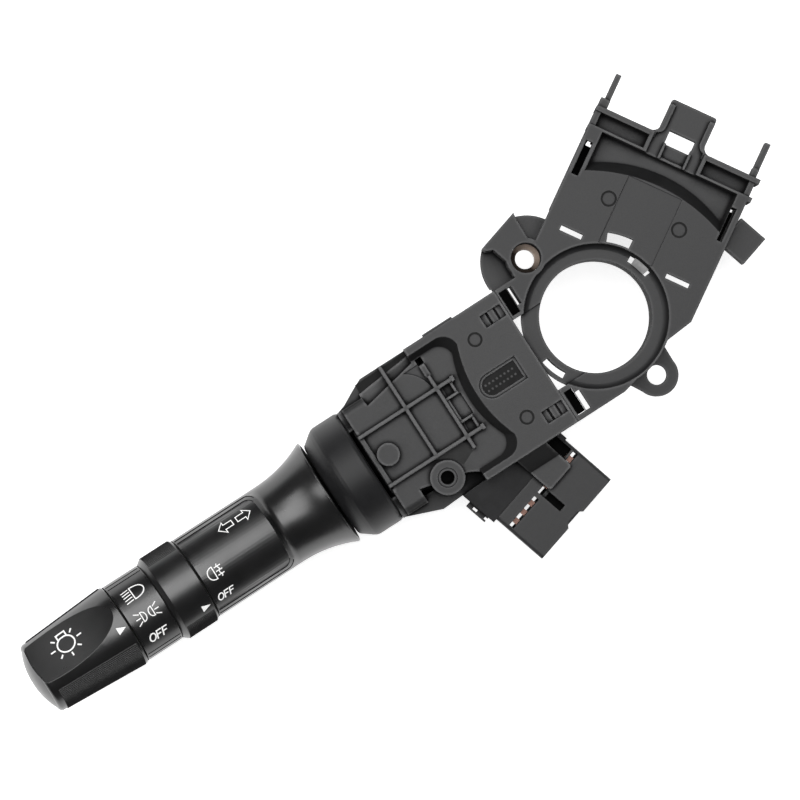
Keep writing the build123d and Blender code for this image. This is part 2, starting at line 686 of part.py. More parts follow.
def case_screws():
    """Self-tapping screws that hold the shells together, put in from below."""
    screws = []
    for x, y in screw_places:
        seat = base_bottom + 6 if x < -40 else -2.0
        screw = post(x, y, screw_r, seat - 0.2, screw_top) + post(x, y, screw_head_r, seat - screw_head, seat)
        screw -= slab(x - 1.4, x + 1.4, y - 0.3, y + 0.3, seat - screw_head - 1, seat - 0.8)
        screw -= slab(x - 0.3, x + 0.3, y - 1.4, y + 1.4, seat - screw_head - 1, seat - 0.8)
        screws.append(on_stalk_side(screw))
    return Compound(screws)


def stalk_collar():
    """Round collar with a coned nose. The lever's flare swings over the nose."""
    inner_r = case_mouth_r + 0.3
    profile = [(case_left, inner_r), (case_left, collar_r - 1.2), (case_left - 0.35, collar_r - 0.35), (case_left - 1.2, collar_r), (collar_shoulder_x + 1.2, collar_r),
               (collar_shoulder_x + 0.2, collar_r - 0.25), (collar_shoulder_x - 0.9, collar_r - 0.95),
               (collar_front_x + 0.3, collar_front_r + 0.25), (collar_front_x, collar_front_r - 0.4),
               (collar_front_x, collar_mouth_r), (collar_front_x + collar_wall, collar_mouth_r),
               (collar_shoulder_x + 0.8, inner_r)]
    return on_stalk_axis(turned(*profile))


def turn_yoke():
    """Frame that rocks on two upright trunnions and carries the cross pin."""
    outer = slab(-yoke_half_x, yoke_half_x, -yoke_half_y, yoke_half_y, -yoke_half_z, yoke_half_z)
    inner = slab(-yoke_half_x - 1, yoke_half_x + 1, -yoke_half_y + yoke_wall_y, yoke_half_y - yoke_wall_y,
                 -yoke_half_z + yoke_wall_z, yoke_half_z - yoke_wall_z)
    frame = fillet(outer.edges().filter_by(Axis.X), 1.0) - inner
    frame += post(0, 0, trunnion_r, yoke_half_z - 0.5, yoke_half_z + trunnion_length)
    frame += post(0, 0, trunnion_r, -yoke_half_z - trunnion_length, -yoke_half_z + 0.5)
    frame += slab(yoke_half_x - 0.5, slider_reach + 1.8, -2.4, 2.4, -yoke_half_z, -yoke_half_z + 2.0)
    frame += post(slider_reach, 0, 1.2, -yoke_half_z - 3.4, -yoke_half_z + 0.5)
    frame -= Rot(90, 0, 0) * Cylinder(cross_pin_r, 2 * yoke_half_y + 2)
    return at_pivot(frame)


def cross_pin():
    """Steel pin, pressed in the yoke, that the lever nods on."""
    return at_pivot(Rot(90, 0, 0) * Cylinder(cross_pin_r, 2 * yoke_half_y - 0.4))


def lever_block():
    """Pivot block: neck into the stalk, block on the cross pin, and the tail with the click pin's bore."""
    half_y = yoke_half_y - yoke_wall_y - side_play
    block = slab(-yoke_half_x, yoke_half_x, -half_y, half_y, -block_half_z, block_half_z)
    block = fillet(block.edges().filter_by(Axis.Y), 1.0)
    body = block + rod(neck_end_x - pivot_x, -yoke_half_x + 1, neck_r) + rod(yoke_half_x - 1, tail_reach, tail_r)
    body -= rod(plunger_reach - plunger_length - 8.0, tail_reach + 1, plunger_r + running)
    body -= Rot(90, 0, 0) * Cylinder(cross_pin_r + running, 3 * yoke_half_y)
    return at_pivot(body)


def detent_plunger():
    """Round-nosed pin in the lever's tail."""
    back = plunger_reach - plunger_length
    pin = rod(back, plunger_reach - plunger_r, plunger_r) + Pos(plunger_reach - plunger_r, 0, 0) * Sphere(plunger_r)
    return at_pivot(pin)


def detent_spring():
    """Spring behind the plunger."""
    length = 7.6
    back = plunger_reach - plunger_length
    spring = coil(length - 0.5, 1.5, 0.5, 5)
    return at_pivot(Pos(back - length + 0.25, 0, 0) * Rot(0, 90, 0) * spring)


def detent_track():
    """Dished plate: the plunger's nose runs in it and drops in a dimple at each position."""
    track_r = plunger_reach + track_gap
    block = slab(plunger_reach - 2.0, plunger_reach + 3.5, -9.0, 9.0, base_bottom + base_floor - stalk_z, 6.4)
    block -= Sphere(track_r)
    for turn, nod in ((-turn_angle, 0), (0, 0), (turn_angle, 0), (0, -push_angle)):
        block -= Rot(0, 0, turn) * Rot(0, nod, 0) * rod(track_r - 1, track_r + notch_depth, notch_r)
    return at_pivot(block)


def contact_board():
    """Board with the fixed contacts of both lever motions."""
    right = pivot_x + plunger_reach - 2.5
    return on_stalk_side(slab(-69.0, right, -10.9, 8.6, board_top - board_thickness, board_top))


def fixed_contacts():
    """Copper tracks on the board."""
    tracks = []
    for k in range(3):
        x = -67.4 + 2.2 * k
        tracks.append(on_stalk_side(slab(x, x + 1.4, stalk_y - 7.0, stalk_y + 7.0, board_top, board_top + track_thickness)))
    return Compound(tracks)


def turn_slider():
    """Carriage that the yoke's peg pushes across the board."""
    x = pivot_x + slider_reach
    bottom = board_top + track_thickness + slider_gap
    top = stalk_z - yoke_half_z - 1.2
    body = slab(x - 3.4, x + 3.4, stalk_y - 5.5, stalk_y + 5.5, bottom, top)
    body -= slab(x - 1.7, x + 1.7, stalk_y - 1.32, stalk_y + 1.32, bottom - 1, top + 1)
    return on_stalk_side(body)


def turn_brushes():
    """Copper brushes under the carriage."""
    bottom = board_top + track_thickness + 0.05
    brushes = []
    for k in range(3):
        x = -67.1 + 2.2 * k
        for y in (-4.6, 3.2):
            brushes.append(on_stalk_side(slab(x, x + 0.8, stalk_y + y, stalk_y + y + 1.4, bottom, bottom + slider_gap - 0.05)))
    return Compound(brushes)


def dimmer_slider():
    """Upright gate that rides up and down with the lever's tail."""
    half_t = gate_thickness / 2
    gate = slab(gate_reach - half_t, gate_reach + half_t, -gate_half_width, gate_half_width, -10.8, 5.6)
    gate -= slab(gate_reach - 2, gate_reach + 2, -6.1, 6.1, -tail_r - slider_gap, tail_r + slider_gap)
    return at_pivot(gate)


def dimmer_guide():
    """Two grooved posts that the gate slides between."""
    posts = []
    for side in (-1, 1):
        body = slab(gate_reach - 2.0, gate_reach + 2.0, side * (gate_half_width - 0.9), side * (gate_half_width + 1.3),
                    board_top - stalk_z, 1.0)
        body -= slab(gate_reach - gate_thickness / 2 - 0.15, gate_reach + gate_thickness / 2 + 0.15,
                     side * (gate_half_width - 2), side * (gate_half_width + 0.15), -30, 30)
        posts.append(at_pivot(body))
    return Compound(posts)


def cancel_pawl():
    """Sprung pawl that the column's cam strikes to cancel the turn signal."""
    body = slab(-34.4, -29.5, stalk_y - 4.0, stalk_y + 4.0, 0.25, 4.8)
    body += slab(-30.0, -22.2, stalk_y - 2.0, stalk_y + 2.0, 0.9, 4.4)
    body = fillet(body.edges().filter_by(Axis.Z).group_by(Axis.X)[-1], 1.2)
    return on_stalk_side(body)


def cancel_spring():
    """Spring behind the cancel pawl."""
    start = base_step_x - case_wall + 1.5
    spring = coil(-34.4 - start - 0.7, 1.5, 0.5, 3)
    return on_stalk_side(Pos(start + 0.35, stalk_y, 2.6) * Rot(0, 90, 0) * spring)


def stalk_core():
    """Inner tube of the stalk. The knob and the fog ring turn on it."""
    return on_handle(rod(core_end_x, core_start_x, core_r) - rod(core_end_x - 1, core_start_x + 1, core_bore_r))


def flare():
    """Bell-shaped end: circles that turn from the raised handle's direction to the case's."""
    length = flare_rim_x - flare_start_x
    steps = 8
    sections = []
    for k in range(steps + 1):
        share = k / steps
        r = tube_r + (flare_rim_r - tube_r) * share ** 2.2
        turn = handle_rise * (1 - share ** 2)
        reach = length * (1 - share)
        rise = radians(handle_rise)
        place = Pos(flare_rim_x - reach * cos(rise), 0, reach * sin(rise)) * Rot(0, turn, 0)
        sections.append(place * Rot(0, 90, 0) * Circle(r))
    bell = loft(sections, ruled=True)
    return fillet(bell.edges().group_by(Axis.X)[-1], 0.5)


def lever_tube():
    """Outer handle: plain tube, flared end with a hollow mouth, and the raised symbol pad."""
    mouth_r = flare_rim_r - bell_wall
    inside_end = neck_end_x - core_boss_wall
    handle = Pos(flare_rim_x, 0, 0) * Rot(0, handle_rise, 0) * Pos(-flare_rim_x, 0, 0)
    whole = handle * rod(tube_start_x, flare_start_x, tube_r) + flare()
    whole += handle * symbol_pad(tube_start_x, flare_start_x, pad_end_x, tube_r, pad_rise)
    whole -= handle * (rod(tube_start_x + tube_end_wall, inside_end, tube_r - tube_wall)
                       - rod(tube_start_x, inside_end + 1, core_r + core_boss_wall))
    whole -= turned((flare_rim_x + 1, 0), (flare_rim_x + 1, mouth_r), (flare_rim_x, mouth_r),
                    (flare_rim_x - bell_depth, mouth_r - 1.3), (flare_rim_x - bell_depth, 0))
    whole -= rod(neck_end_x, flare_rim_x, neck_r + fit)
    whole -= handle * rod(tube_start_x - 1, core_start_x, core_r + fit)
    return on_stalk_axis(whole)


def symbol_pad(start, end, plan_end, base_r, rise):
    """Raised smooth pad on the driver's side of a tube, with a stepped edge and rounded corners."""
    pad = Part()
    for step in (0, 1):
        half = base_r - pad_margin + step * pad_step
        plan_start = start - 5
        length = plan_end + step * pad_step - plan_start
        plan = extrude(Pos(plan_start + length / 2, 0, 0) * RectangleRounded(length, 2 * half, pad_corner), base_r + 1)
        top_r = base_r + rise * (1 - step / 2)
        pad += (rod(start, end, top_r) - rod(start - 1, end + 1, base_r - 0.3)) & plan
    return pad


def label_ring():
    """Fixed ring that carries the light symbols."""
    start, end = label_start_x, fog_start_x - ring_gap
    ring = rod(start, end, label_r) + symbol_pad(start, end, end + 5, label_r, label_pad_rise)
    ring -= rod(start - 1, end + 1, core_r + 0.02)
    return on_handle(ring - (rod(start + 4.0, end + 1, label_r - 2.2) - rod(start, end + 1, core_r + hub_ring_wall)))


def fog_ring():
    """Turning ring for the rear fog light, with a chamfered rim and a hub on the core."""
    start, end = fog_start_x, tube_start_x - ring_gap
    shell = turned((start, core_r + running), (start, fog_r - fog_chamfer * 0.8), (start + fog_chamfer, fog_r),
                   (end - 0.5, fog_r), (end, fog_r - 0.5), (end, core_r + running))
    core_out = rod(start - 1, end - 3.0, fog_r - 2.6) - rod(start - 1, end, core_r + hub_ring_wall)
    return on_handle(shell - core_out)


def thumb_scoop():
    """Space over the knob's hollowed side, before it is turned to the thumb."""
    near = knob_start_x - knob_flat_run
    far = knob_tip_x - 1.0
    middle = (near + far) / 2
    side = make_face([
        ThreePointArc((far, 0, knob_flat_tip), (middle, 0, knob_flat_middle), (near, 0, knob_r)),
        Line((near, 0, knob_r), (near + 4, 0, knob_r + 1.5)),
        Line((near + 4, 0, knob_r + 1.5), (near + 4, 0, 30)),
        Line((near + 4, 0, 30), (far, 0, 30)),
        Line((far, 0, 30), (far, 0, knob_flat_tip)),
    ])
    return Rot(-knob_flat_turn, 0, 0) * extrude(side, 30, both=True)


def light_knob():
    """End knob: a tapered round body with a thumb scoop towards the driver and a hollow inner end."""
    start = knob_start_x
    dome_x = knob_tip_x + knob_dome
    outline = make_face([
        Line((start, 0), (start, knob_r - 0.4)),
        Line((start, knob_r - 0.4), (start - 0.4, knob_r)),
        Line((start - 0.4, knob_r), (dome_x + knob_corner, knob_tip_r)),
        ThreePointArc((dome_x + knob_corner, knob_tip_r), (dome_x + 0.4, knob_tip_r - 0.45), (dome_x, knob_tip_r - knob_corner)),
        ThreePointArc((dome_x, knob_tip_r - knob_corner), (knob_tip_x + 0.5, knob_tip_r * 0.45), (knob_tip_x, 0)),
        Line((knob_tip_x, 0), (start, 0)),
    ])
    body = revolve(outline, Axis.X) - thumb_scoop()
    body -= rod(start - knob_hollow_depth, start + 1, knob_hollow_r)
    body -= rod(core_end_x - 0.3, start + 1, core_r + running)
    return on_handle(body)


def light_contact_board():
    """Round contact board of the light switch, fixed on the core inside the knob."""
    x = knob_start_x - 0.4
    return on_handle(rod(x - 1.2, x, knob_hollow_r - 0.5) - rod(x - 2, x + 1, core_r + 0.02))


def knob_wipers():
    """Copper wipers that turn with the knob against the round board."""
    back = knob_start_x - knob_hollow_depth
    front = knob_start_x - 0.4 - 1.2 - 0.1
    wipers = []
    for angle in (60, 180, 300):
        wipers.append(on_handle(Rot(angle, 0, 0) * slab(back, front, -0.9, 0.9, 8.6, 9.2)))
    return Compound(wipers)


def pin_bars(width, thickness, root_y, tip_y):
    """Straight bars at the places of the connector's pins."""
    bars = []
    for z in pin_rows:
        for k in range(pin_count):
            if k == pin_missing:
                continue
            x = pin_first_x + k * pin_pitch
            bars.append(slab(x - width / 2, x + width / 2, tip_y, root_y, z - thickness / 2, z + thickness / 2))
    return bars


def terminal_well():
    """Open well beside the locking tongue, over the last blades."""
    return slab(tongue_right + 0.2, well_right, well_front_y, well_back_y, shroud_top - well_depth, 20)


def connector_shroud():
    """Plug socket: open mouth, key slot and the slit that shows the pins' roots."""
    z1 = shroud_top
    z0 = shroud_top - shroud_height
    box = slab(shroud_left, shroud_right, shroud_mouth_y, shroud_back_y, z0, z1)
    box = fillet(box.edges().filter_by(Axis.Y), 1.2)
    box -= slab(shroud_left + shroud_wall, shroud_right - shroud_wall, shroud_mouth_y - 1, shroud_cavity_y,
                z0 + shroud_wall, z1 - shroud_wall)
    box -= slab(-64.5, -52.8, slit_bottom_y, slit_top_y, z0 - 1, z1 + 1)
    box -= slab(key_middle_x - key_width / 2, -34.6, slit_bottom_y, slit_top_y, z0 - 1, z1 + 1)
    box -= slab(key_middle_x - key_width / 2, key_middle_x + key_width / 2, key_end_y, slit_bottom_y + 0.1,
                z1 - shroud_wall - 0.5, z1 + 1)
    half = notch_width / 2
    box -= prism([(key_middle_x - half, shroud_mouth_y - 1), (key_middle_x - half, shroud_mouth_y),
                  (key_middle_x - half + 1.2, shroud_mouth_y + notch_depth_y), (key_middle_x + half - 1.2, shroud_mouth_y + notch_depth_y),
                  (key_middle_x + half, shroud_mouth_y), (key_middle_x + half, shroud_mouth_y - 1)],
                 z1 - shroud_wall - 0.5, z1 + 1)
    box -= terminal_well()
    return box - pin_bars(pin_width, pin_thickness, shroud_back_y + 1, shroud_mouth_y)


def connector_terminals():
    """Copper blades, from the cover through the slit and into the socket."""
    return Compound(pin_bars(pin_width, pin_thickness, pin_root_y + 4.0, pin_tip_y))


def terminal_cover():
    """Sloping cover over the conductors between the case and the socket."""
    z0 = shroud_top - shroud_height
    side = make_face(Polyline((cover_left, shroud_back_y, z0), (cover_left, shroud_back_y, shroud_top),
                              (cover_left, 0, shroud_top + cover_rise), (cover_left, 0, z0), close=True))
    body = extrude(side, cover_right - cover_left, dir=(1, 0, 0))
    inner = slab(cover_left + 1.4, cover_right - 1.4, shroud_back_y + 1.4, 1, z0 + 1.4, shroud_top - 1.4)
    body -= inner
    keep_out = prism([(-90, -19.9), (-79.8, -20.6), (-69.9, -24.4), (case_step, -23.6), (case_step, case_bottom_y),
                      (case_right, case_bottom_y), (0, case_bottom_y), (0, 40), (-90, 40)], -30, 30)
    body -= on_stalk_side(keep_out)
    body -= on_stalk_side(post(*trim_boss, trim_boss_r + 0.05, -30, 30))
    body -= lock_tongue()
    body -= terminal_well()
    return body - pin_bars(pin_width, pin_thickness, pin_root_y + 4.0, shroud_mouth_y)


def harness_clip():
    """Small clip with two narrow windows on the side of the terminal cover."""
    body = slab(cover_left - 1.9, cover_left, -16.1, -8.8, -8.0, -3.0)
    for y0, y1 in ((-17.0, -15.2), (-12.4, -10.6)):
        body -= slab(cover_left - 1.3, cover_left - 0.5, y0, y1, -9, -2)
    return body


def build_all():
    """Make every node and write it."""
    nodes = [column_bracket, mounting_bush, switch_case, switch_base, stalk_collar, case_screws, detent_track,
             contact_board, fixed_contacts, dimmer_guide, terminal_cover, connector_shroud, connector_terminals,
             harness_clip, turn_yoke, cross_pin, lever_block, stalk_core, lever_tube, label_ring, light_contact_board,
             light_knob, knob_wipers, fog_ring, detent_plunger, detent_spring, turn_slider, turn_brushes,
             dimmer_slider, cancel_pawl, cancel_spring]
    for node in nodes:
        export_step(node(), f"parts/{node.__name__}.step")


build_all()
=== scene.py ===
import json
from math import cos, pi, radians, sin

import bmesh
import bpy
from mathutils import Matrix, Vector
from mathutils.bvhtree import BVHTree


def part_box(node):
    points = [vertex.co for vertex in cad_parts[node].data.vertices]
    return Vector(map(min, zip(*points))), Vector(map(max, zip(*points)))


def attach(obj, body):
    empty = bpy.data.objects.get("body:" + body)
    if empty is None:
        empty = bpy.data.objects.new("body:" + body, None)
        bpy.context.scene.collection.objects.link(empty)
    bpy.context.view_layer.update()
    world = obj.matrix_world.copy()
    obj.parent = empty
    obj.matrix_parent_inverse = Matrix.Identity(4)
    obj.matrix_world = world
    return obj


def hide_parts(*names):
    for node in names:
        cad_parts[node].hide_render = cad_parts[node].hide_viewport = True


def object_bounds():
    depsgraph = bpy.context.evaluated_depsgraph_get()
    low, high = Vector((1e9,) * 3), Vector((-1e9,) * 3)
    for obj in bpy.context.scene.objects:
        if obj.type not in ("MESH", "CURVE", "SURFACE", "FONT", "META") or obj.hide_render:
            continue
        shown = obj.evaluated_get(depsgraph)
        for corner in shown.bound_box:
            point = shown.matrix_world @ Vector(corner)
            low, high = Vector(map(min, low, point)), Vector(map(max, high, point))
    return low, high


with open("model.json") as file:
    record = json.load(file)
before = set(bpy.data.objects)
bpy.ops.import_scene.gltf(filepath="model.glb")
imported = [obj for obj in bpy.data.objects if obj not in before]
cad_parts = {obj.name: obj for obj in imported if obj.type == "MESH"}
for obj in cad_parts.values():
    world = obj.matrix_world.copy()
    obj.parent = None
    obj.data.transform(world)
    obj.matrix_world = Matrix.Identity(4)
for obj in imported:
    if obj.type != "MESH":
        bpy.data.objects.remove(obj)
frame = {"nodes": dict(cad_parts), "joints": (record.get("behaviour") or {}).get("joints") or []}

cad_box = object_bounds()
nodes = frame["nodes"]


# The studio: a pale floor just under the lower shell, soft white panels above and beside,
# and a camera that looks straight down, turned so that the lever points to the lower left.
def put_in_scene(name, data):
    """New object of the given data, at the origin."""
    made = bpy.data.objects.new(name, data)
    bpy.context.scene.collection.objects.link(made)
    return made


def set_inputs(node, values):
    """Set a node's inputs by their names."""
    for socket, value in values.items():
        node.inputs[socket].default_value = value


def new_material(name):
    """New material, its node tree and its surface shader."""
    material = bpy.data.materials.new(name)
    material.use_nodes = True
    tree = material.node_tree
    return material, tree, tree.nodes["Principled BSDF"]


view_height = 0.850
view_width = 0.240
view_turn = radians(-49)
deck_height = 0.014
sensor_width = 36
camera_data = bpy.data.cameras.new("camera")
camera_data.sensor_width = sensor_width
camera_data.lens = sensor_width * view_height / view_width
camera_data.clip_end = 10
camera = put_in_scene("camera", camera_data)
camera.location = (-0.05761, 0.02795, deck_height + view_height)
camera.rotation_euler = (0, 0, view_turn)
bpy.context.scene.camera = camera
bpy.context.scene.view_settings.view_transform = "Standard"

floor_half = 3.0
floor_gap = 0.0005
floor_z = cad_box[0][2] - floor_gap
floor_corners = [(-floor_half, -floor_half, floor_z), (floor_half, -floor_half, floor_z),
                 (floor_half, floor_half, floor_z), (-floor_half, floor_half, floor_z)]
floor_mesh = bpy.data.meshes.new("floor")
floor_mesh.from_pydata(floor_corners, [], [(0, 1, 2, 3)])
floor = put_in_scene("floor", floor_mesh)
paper, _, paper_shader = new_material("studio_paper")
set_inputs(paper_shader, {"Base Color": (0.95, 0.95, 0.95, 1), "Roughness": 0.9,
                          "Emission Color": (1, 1, 1, 1), "Emission Strength": 0.75})
floor_mesh.materials.append(paper)

world = bpy.data.worlds.new("studio")
bpy.context.scene.world = world
world.use_nodes = True
set_inputs(world.node_tree.nodes["Background"], {"Color": (1, 1, 1, 1), "Strength": 0.09})


def panel(name, place, aim, size, power):
    """Soft white light panel that faces a point."""
    data = bpy.data.lights.new(name, "AREA")
    data.shape = "RECTANGLE"
    data.size, data.size_y = size
    data.energy = power
    light = put_in_scene(name, data)
    light.location = place
    light.rotation_euler = (Vector(aim) - Vector(place)).to_track_quat("-Z", "Y").to_euler()


panel("top_panel", place=(0.20, 0.17, 1.3), aim=(0.20, 0.169, 0), size=(0.9, 0.9), power=10.2)
panel("upper_panel", place=(0.10, 0.70, 1.0), aim=(-0.06, 0.02, 0), size=(0.5, 0.4), power=2.2)
panel("side_panel", place=(0.6, -0.3, 0.6), aim=(0, 0, 0), size=(0.4, 0.4), power=0.4)
panel("left_panel", place=(-0.58, 0.36, 0.70), aim=(-0.094, 0.028, 0.015), size=(0.40, 0.28), power=1.5)


# Column bracket: one glass-filled nylon moulding, charcoal, with a fine spark-eroded grain.
# It clamps round the steering column's tube, holds the lever's switch on one side, and has
# an empty bay for the wiper switch on the other.
def cloud(tree, place, scale, detail=2, roughness=0.5):
    """Soft noise over an object, as a value from 0 to 1."""
    noise = tree.nodes.new("ShaderNodeTexNoise")
    set_inputs(noise, {"Scale": scale, "Detail": detail, "Roughness": roughness})
    tree.links.new(place, noise.inputs["Vector"])
    return noise.outputs["Fac"]


def two_tone(tree, value, low, high, dark, light):
    """Colour that goes from dark to light as a value goes from low to high."""
    ramp = tree.nodes.new("ShaderNodeValToRGB")
    for end, position, tone in zip(ramp.color_ramp.elements, (low, high), (dark, light)):
        end.position = position
        end.color = (*tone, 1)
    tree.links.new(value, ramp.inputs["Fac"])
    return ramp.outputs["Color"]


def span(tree, value, low, high, to_low=0.0, to_high=1.0):
    """Value that goes from to_low to to_high as another goes from low to high, and stays there."""
    node = tree.nodes.new("ShaderNodeMapRange")
    set_inputs(node, {"From Min": low, "From Max": high, "To Min": to_low, "To Max": to_high})
    tree.links.new(value, node.inputs["Value"])
    return node.outputs["Result"]


def combine(tree, operation, first, second, clamp=False):
    """Two values worked into one."""
    node = tree.nodes.new("ShaderNodeMath")
    node.operation = operation
    node.use_clamp = clamp
    tree.links.new(first, node.inputs[0])
    tree.links.new(second, node.inputs[1])
    return node.outputs[0]


def scaled(tree, colour, factor):
    """Colour made darker or lighter by a factor."""
    node = tree.nodes.new("ShaderNodeVectorMath")
    node.operation = "SCALE"
    tree.links.new(colour, node.inputs[0])
    tree.links.new(factor, node.inputs["Scale"])
    return node.outputs[0]


def openness(tree, distance, inside=False):
    """How open a point is within a distance: low in a tight corner, or, from inside, on a sharp edge."""
    node = tree.nodes.new("ShaderNodeAmbientOcclusion")
    node.inside = inside
    node.samples = 8
    node.inputs["Distance"].default_value = distance
    return node.outputs["AO"]


def moulded(name, colour, roughness, grain, depth, edge, rub=0.12, wall_shade=1.0, edge_highlight=1.0):
    """Moulded plastic with a faint mottle and a fine grain, its pitch and depth in metres.

    Corners are rounded by edge, in metres. Tight corners and deep places are darkened and made rougher
    as painted shade, and steep faces (walls) can be darkened further by a factor of their own, also
    painted shade. On sharp edges rub takes roughness away, and a factor of its own makes the colour
    paler there as a painted highlight.
    """
    material, tree, shader = new_material(name)
    coordinates = tree.nodes.new("ShaderNodeTexCoord")
    place = coordinates.outputs["Object"]
    mottle = cloud(tree, place, scale=110, detail=7, roughness=0.65)
    darker, lighter = [c * 0.75 for c in colour], [c * 1.25 for c in colour]
    tint = two_tone(tree, mottle, low=0.35, high=0.7, dark=darker, light=lighter)

    # Painted shade: the colour darkens in tight corners, in deep pockets and on steep faces.
    crease_shade = span(tree, openness(tree, distance=0.0016), low=0.4, high=0.92, to_low=0.15)
    deep_shade = span(tree, openness(tree, distance=0.009), low=0.12, high=0.5, to_low=0.25)
    facing = tree.nodes.new("ShaderNodeSeparateXYZ")
    tree.links.new(coordinates.outputs["Normal"], facing.inputs[0])
    lean = span(tree, facing.outputs["Z"], low=0.62, high=0.9, to_low=wall_shade)
    shade = combine(tree, "MULTIPLY", combine(tree, "MULTIPLY", crease_shade, deep_shade), lean)
    # Painted highlight: the colour is made paler on sharp convex edges.
    rounding = openness(tree, distance=0.0011, inside=True)
    painted_edge_highlight = span(tree, rounding, low=0.5, high=0.9, to_low=edge_highlight)
    tree.links.new(scaled(tree, scaled(tree, tint, shade), painted_edge_highlight), shader.inputs["Base Color"])

    swing = 0.035
    gloss = span(tree, mottle, low=0.3, high=0.7, to_low=roughness - swing, to_high=roughness + swing)
    polish = span(tree, rounding, low=0.45, high=0.9, to_low=rub, to_high=0.0)
    matt = combine(tree, "DIVIDE", combine(tree, "SUBTRACT", gloss, polish), shade, clamp=True)
    tree.links.new(matt, shader.inputs["Roughness"])
    shader.inputs["Specular IOR Level"].default_value = 0.4

    corner = tree.nodes.new("ShaderNodeBevel")
    corner.samples = 4
    corner.inputs["Radius"].default_value = edge
    relief = tree.nodes.new("ShaderNodeBump")
    set_inputs(relief, {"Strength": 1.0, "Distance": depth})
    tree.links.new(cloud(tree, place, scale=1 / grain), relief.inputs["Height"])
    tree.links.new(corner.outputs["Normal"], relief.inputs["Normal"])
    tree.links.new(relief.outputs["Normal"], shader.inputs["Normal"])
    return material


def finish_node(name, material):
    """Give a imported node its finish."""
    mesh = nodes[name].data
    mesh.materials.clear()
    mesh.materials.append(material)
    mesh.shade_smooth()
    mesh.set_sharp_from_angle(angle=radians(32))


def plain(name, colour, roughness, gloss):
    """Smooth plastic seen only as a small patch: an even colour with a faint mottle."""
    material, tree, shader = new_material(name)
    mottle = cloud(tree, tree.nodes.new("ShaderNodeTexCoord").outputs["Object"], scale=400)
    darker, lighter = [c * 0.7 for c in colour], [c * 1.3 for c in colour]
    tint = two_tone(tree, mottle, low=0.3, high=0.7, dark=darker, light=lighter)
    tree.links.new(tint, shader.inputs["Base Color"])
    set_inputs(shader, {"Roughness": roughness, "Specular IOR Level": gloss})
    return material


weld = 1e-7


def prism(name, arm, outline, heights, material, holes=()):
    """Flat piece in an arm's axes: an outline in millimetres, with holes, between two heights."""
    bottom, top = heights
    curve = bpy.data.curves.new(name, "CURVE")
    curve.dimensions = "2D"
    curve.fill_mode = "BOTH"
    curve.extrude = (top - bottom) / 2000
    for loop in [outline, *holes]:
        spline = curve.splines.new("POLY")
        spline.points.add(len(loop) - 1)
        for point, (x, y) in zip(spline.points, loop):
            point.co = (x / 1000, y / 1000, 0, 1)
        spline.use_cyclic_u = True
    pattern = put_in_scene(name, curve)
    view = bpy.context.evaluated_depsgraph_get()
    mesh = bpy.data.meshes.new_from_object(pattern.evaluated_get(view))
    bpy.data.objects.remove(pattern)
    mesh.transform(arm @ Matrix.Translation((0, 0, (bottom + top) / 2000)))
    shape = bmesh.new()
    shape.from_mesh(mesh)
    bmesh.ops.remove_doubles(shape, verts=shape.verts, dist=weld)
    bmesh.ops.recalc_face_normals(shape, faces=shape.faces)
    shape.to_mesh(mesh)
    shape.free()
    mesh.name = name
    mesh.materials.clear()
    mesh.materials.append(material)
    piece = put_in_scene(name, mesh)
    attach(piece, "housing")


def box_outline(left, right, low, high):
    """Corners of a rectangle."""
    return [(left, low), (right, low), (right, high), (left, high)]


def arc(cx, cy, rx, ry, start, end, steps):
    """Points on an elliptical arc, angles in degrees."""
    angles = [radians(start + (end - start) * k / steps) for k in range(steps + 1)]
    return [(cx + rx * cos(angle), cy + ry * sin(angle)) for angle in angles]


def circle(x, y, r, steps=48):
    """Points round a circle, each of them once."""
    return arc(x, y, r, r, 0, 360, steps)[:-1]


# Painted shade darkens this nylon's steep faces, and a painted highlight pales its sharp edges, by the last
# two factors.
bracket_nylon = moulded("bracket_nylon", (0.026, 0.026, 0.027), roughness=0.46, grain=0.0004, depth=0.00003,
                        edge=0.0004, rub=0.2, wall_shade=0.55, edge_highlight=1.7)
# Near-black finishes: the first is the lever block's own black and also colours plates and lines painted
# where only shade is; the second colours only plates and rings painted as shade.
black_and_painted_shade = plain("black_and_painted_shade", (0.003, 0.003, 0.003), roughness=0.9, gloss=0.1)
painted_shade_dark = plain("painted_shade_dark", (0.009, 0.009, 0.009), roughness=0.7, gloss=0.3)
tongue_grey = plain("tongue_grey", (0.30, 0.30, 0.30), roughness=0.5, gloss=0.3)
finish_node("column_bracket", bracket_nylon)

column_axes = Matrix.Identity(4)
wiper_arm = Matrix.Rotation(radians(16.2), 4, "Z")
# Black plates under the wiper bay's slots: painted shade where the slots look into the dark inside.
slot_shade_heights = (4.2, 5.0)
tongue_heights = (11.4, 11.8)
deck_skin = (13.9, 14.03)
prism("bay_slot_shade_upper", wiper_arm, box_outline(35.6, 46.2, 22.6, 24.6), slot_shade_heights, black_and_painted_shade)
prism("bay_slot_shade_lower", wiper_arm, box_outline(35.6, 46.2, -25.0, -23.4), slot_shade_heights, black_and_painted_shade)
tongue_inside = arc(0, 0, 18.9, 18.9, -7.5, 7.0, 16)
tongue_outside = arc(0, 0, 21.2, 21.2, 7.0, -7.5, 16)
prism("ring_tongue", column_axes, tongue_inside + tongue_outside, tongue_heights, tongue_grey)
# Dark rings round the ejector marks: painted shade that makes their thin grooves look wider.
for name, x, y in (("ejector_ring_bay_upper", 33.6, 11.4), ("ejector_ring_bay_lower", 33.9, -11.7)):
    prism(name, wiper_arm, circle(x, y, 2.45), deck_skin, painted_shade_dark,
          holes=[circle(x, y, 1.95)])


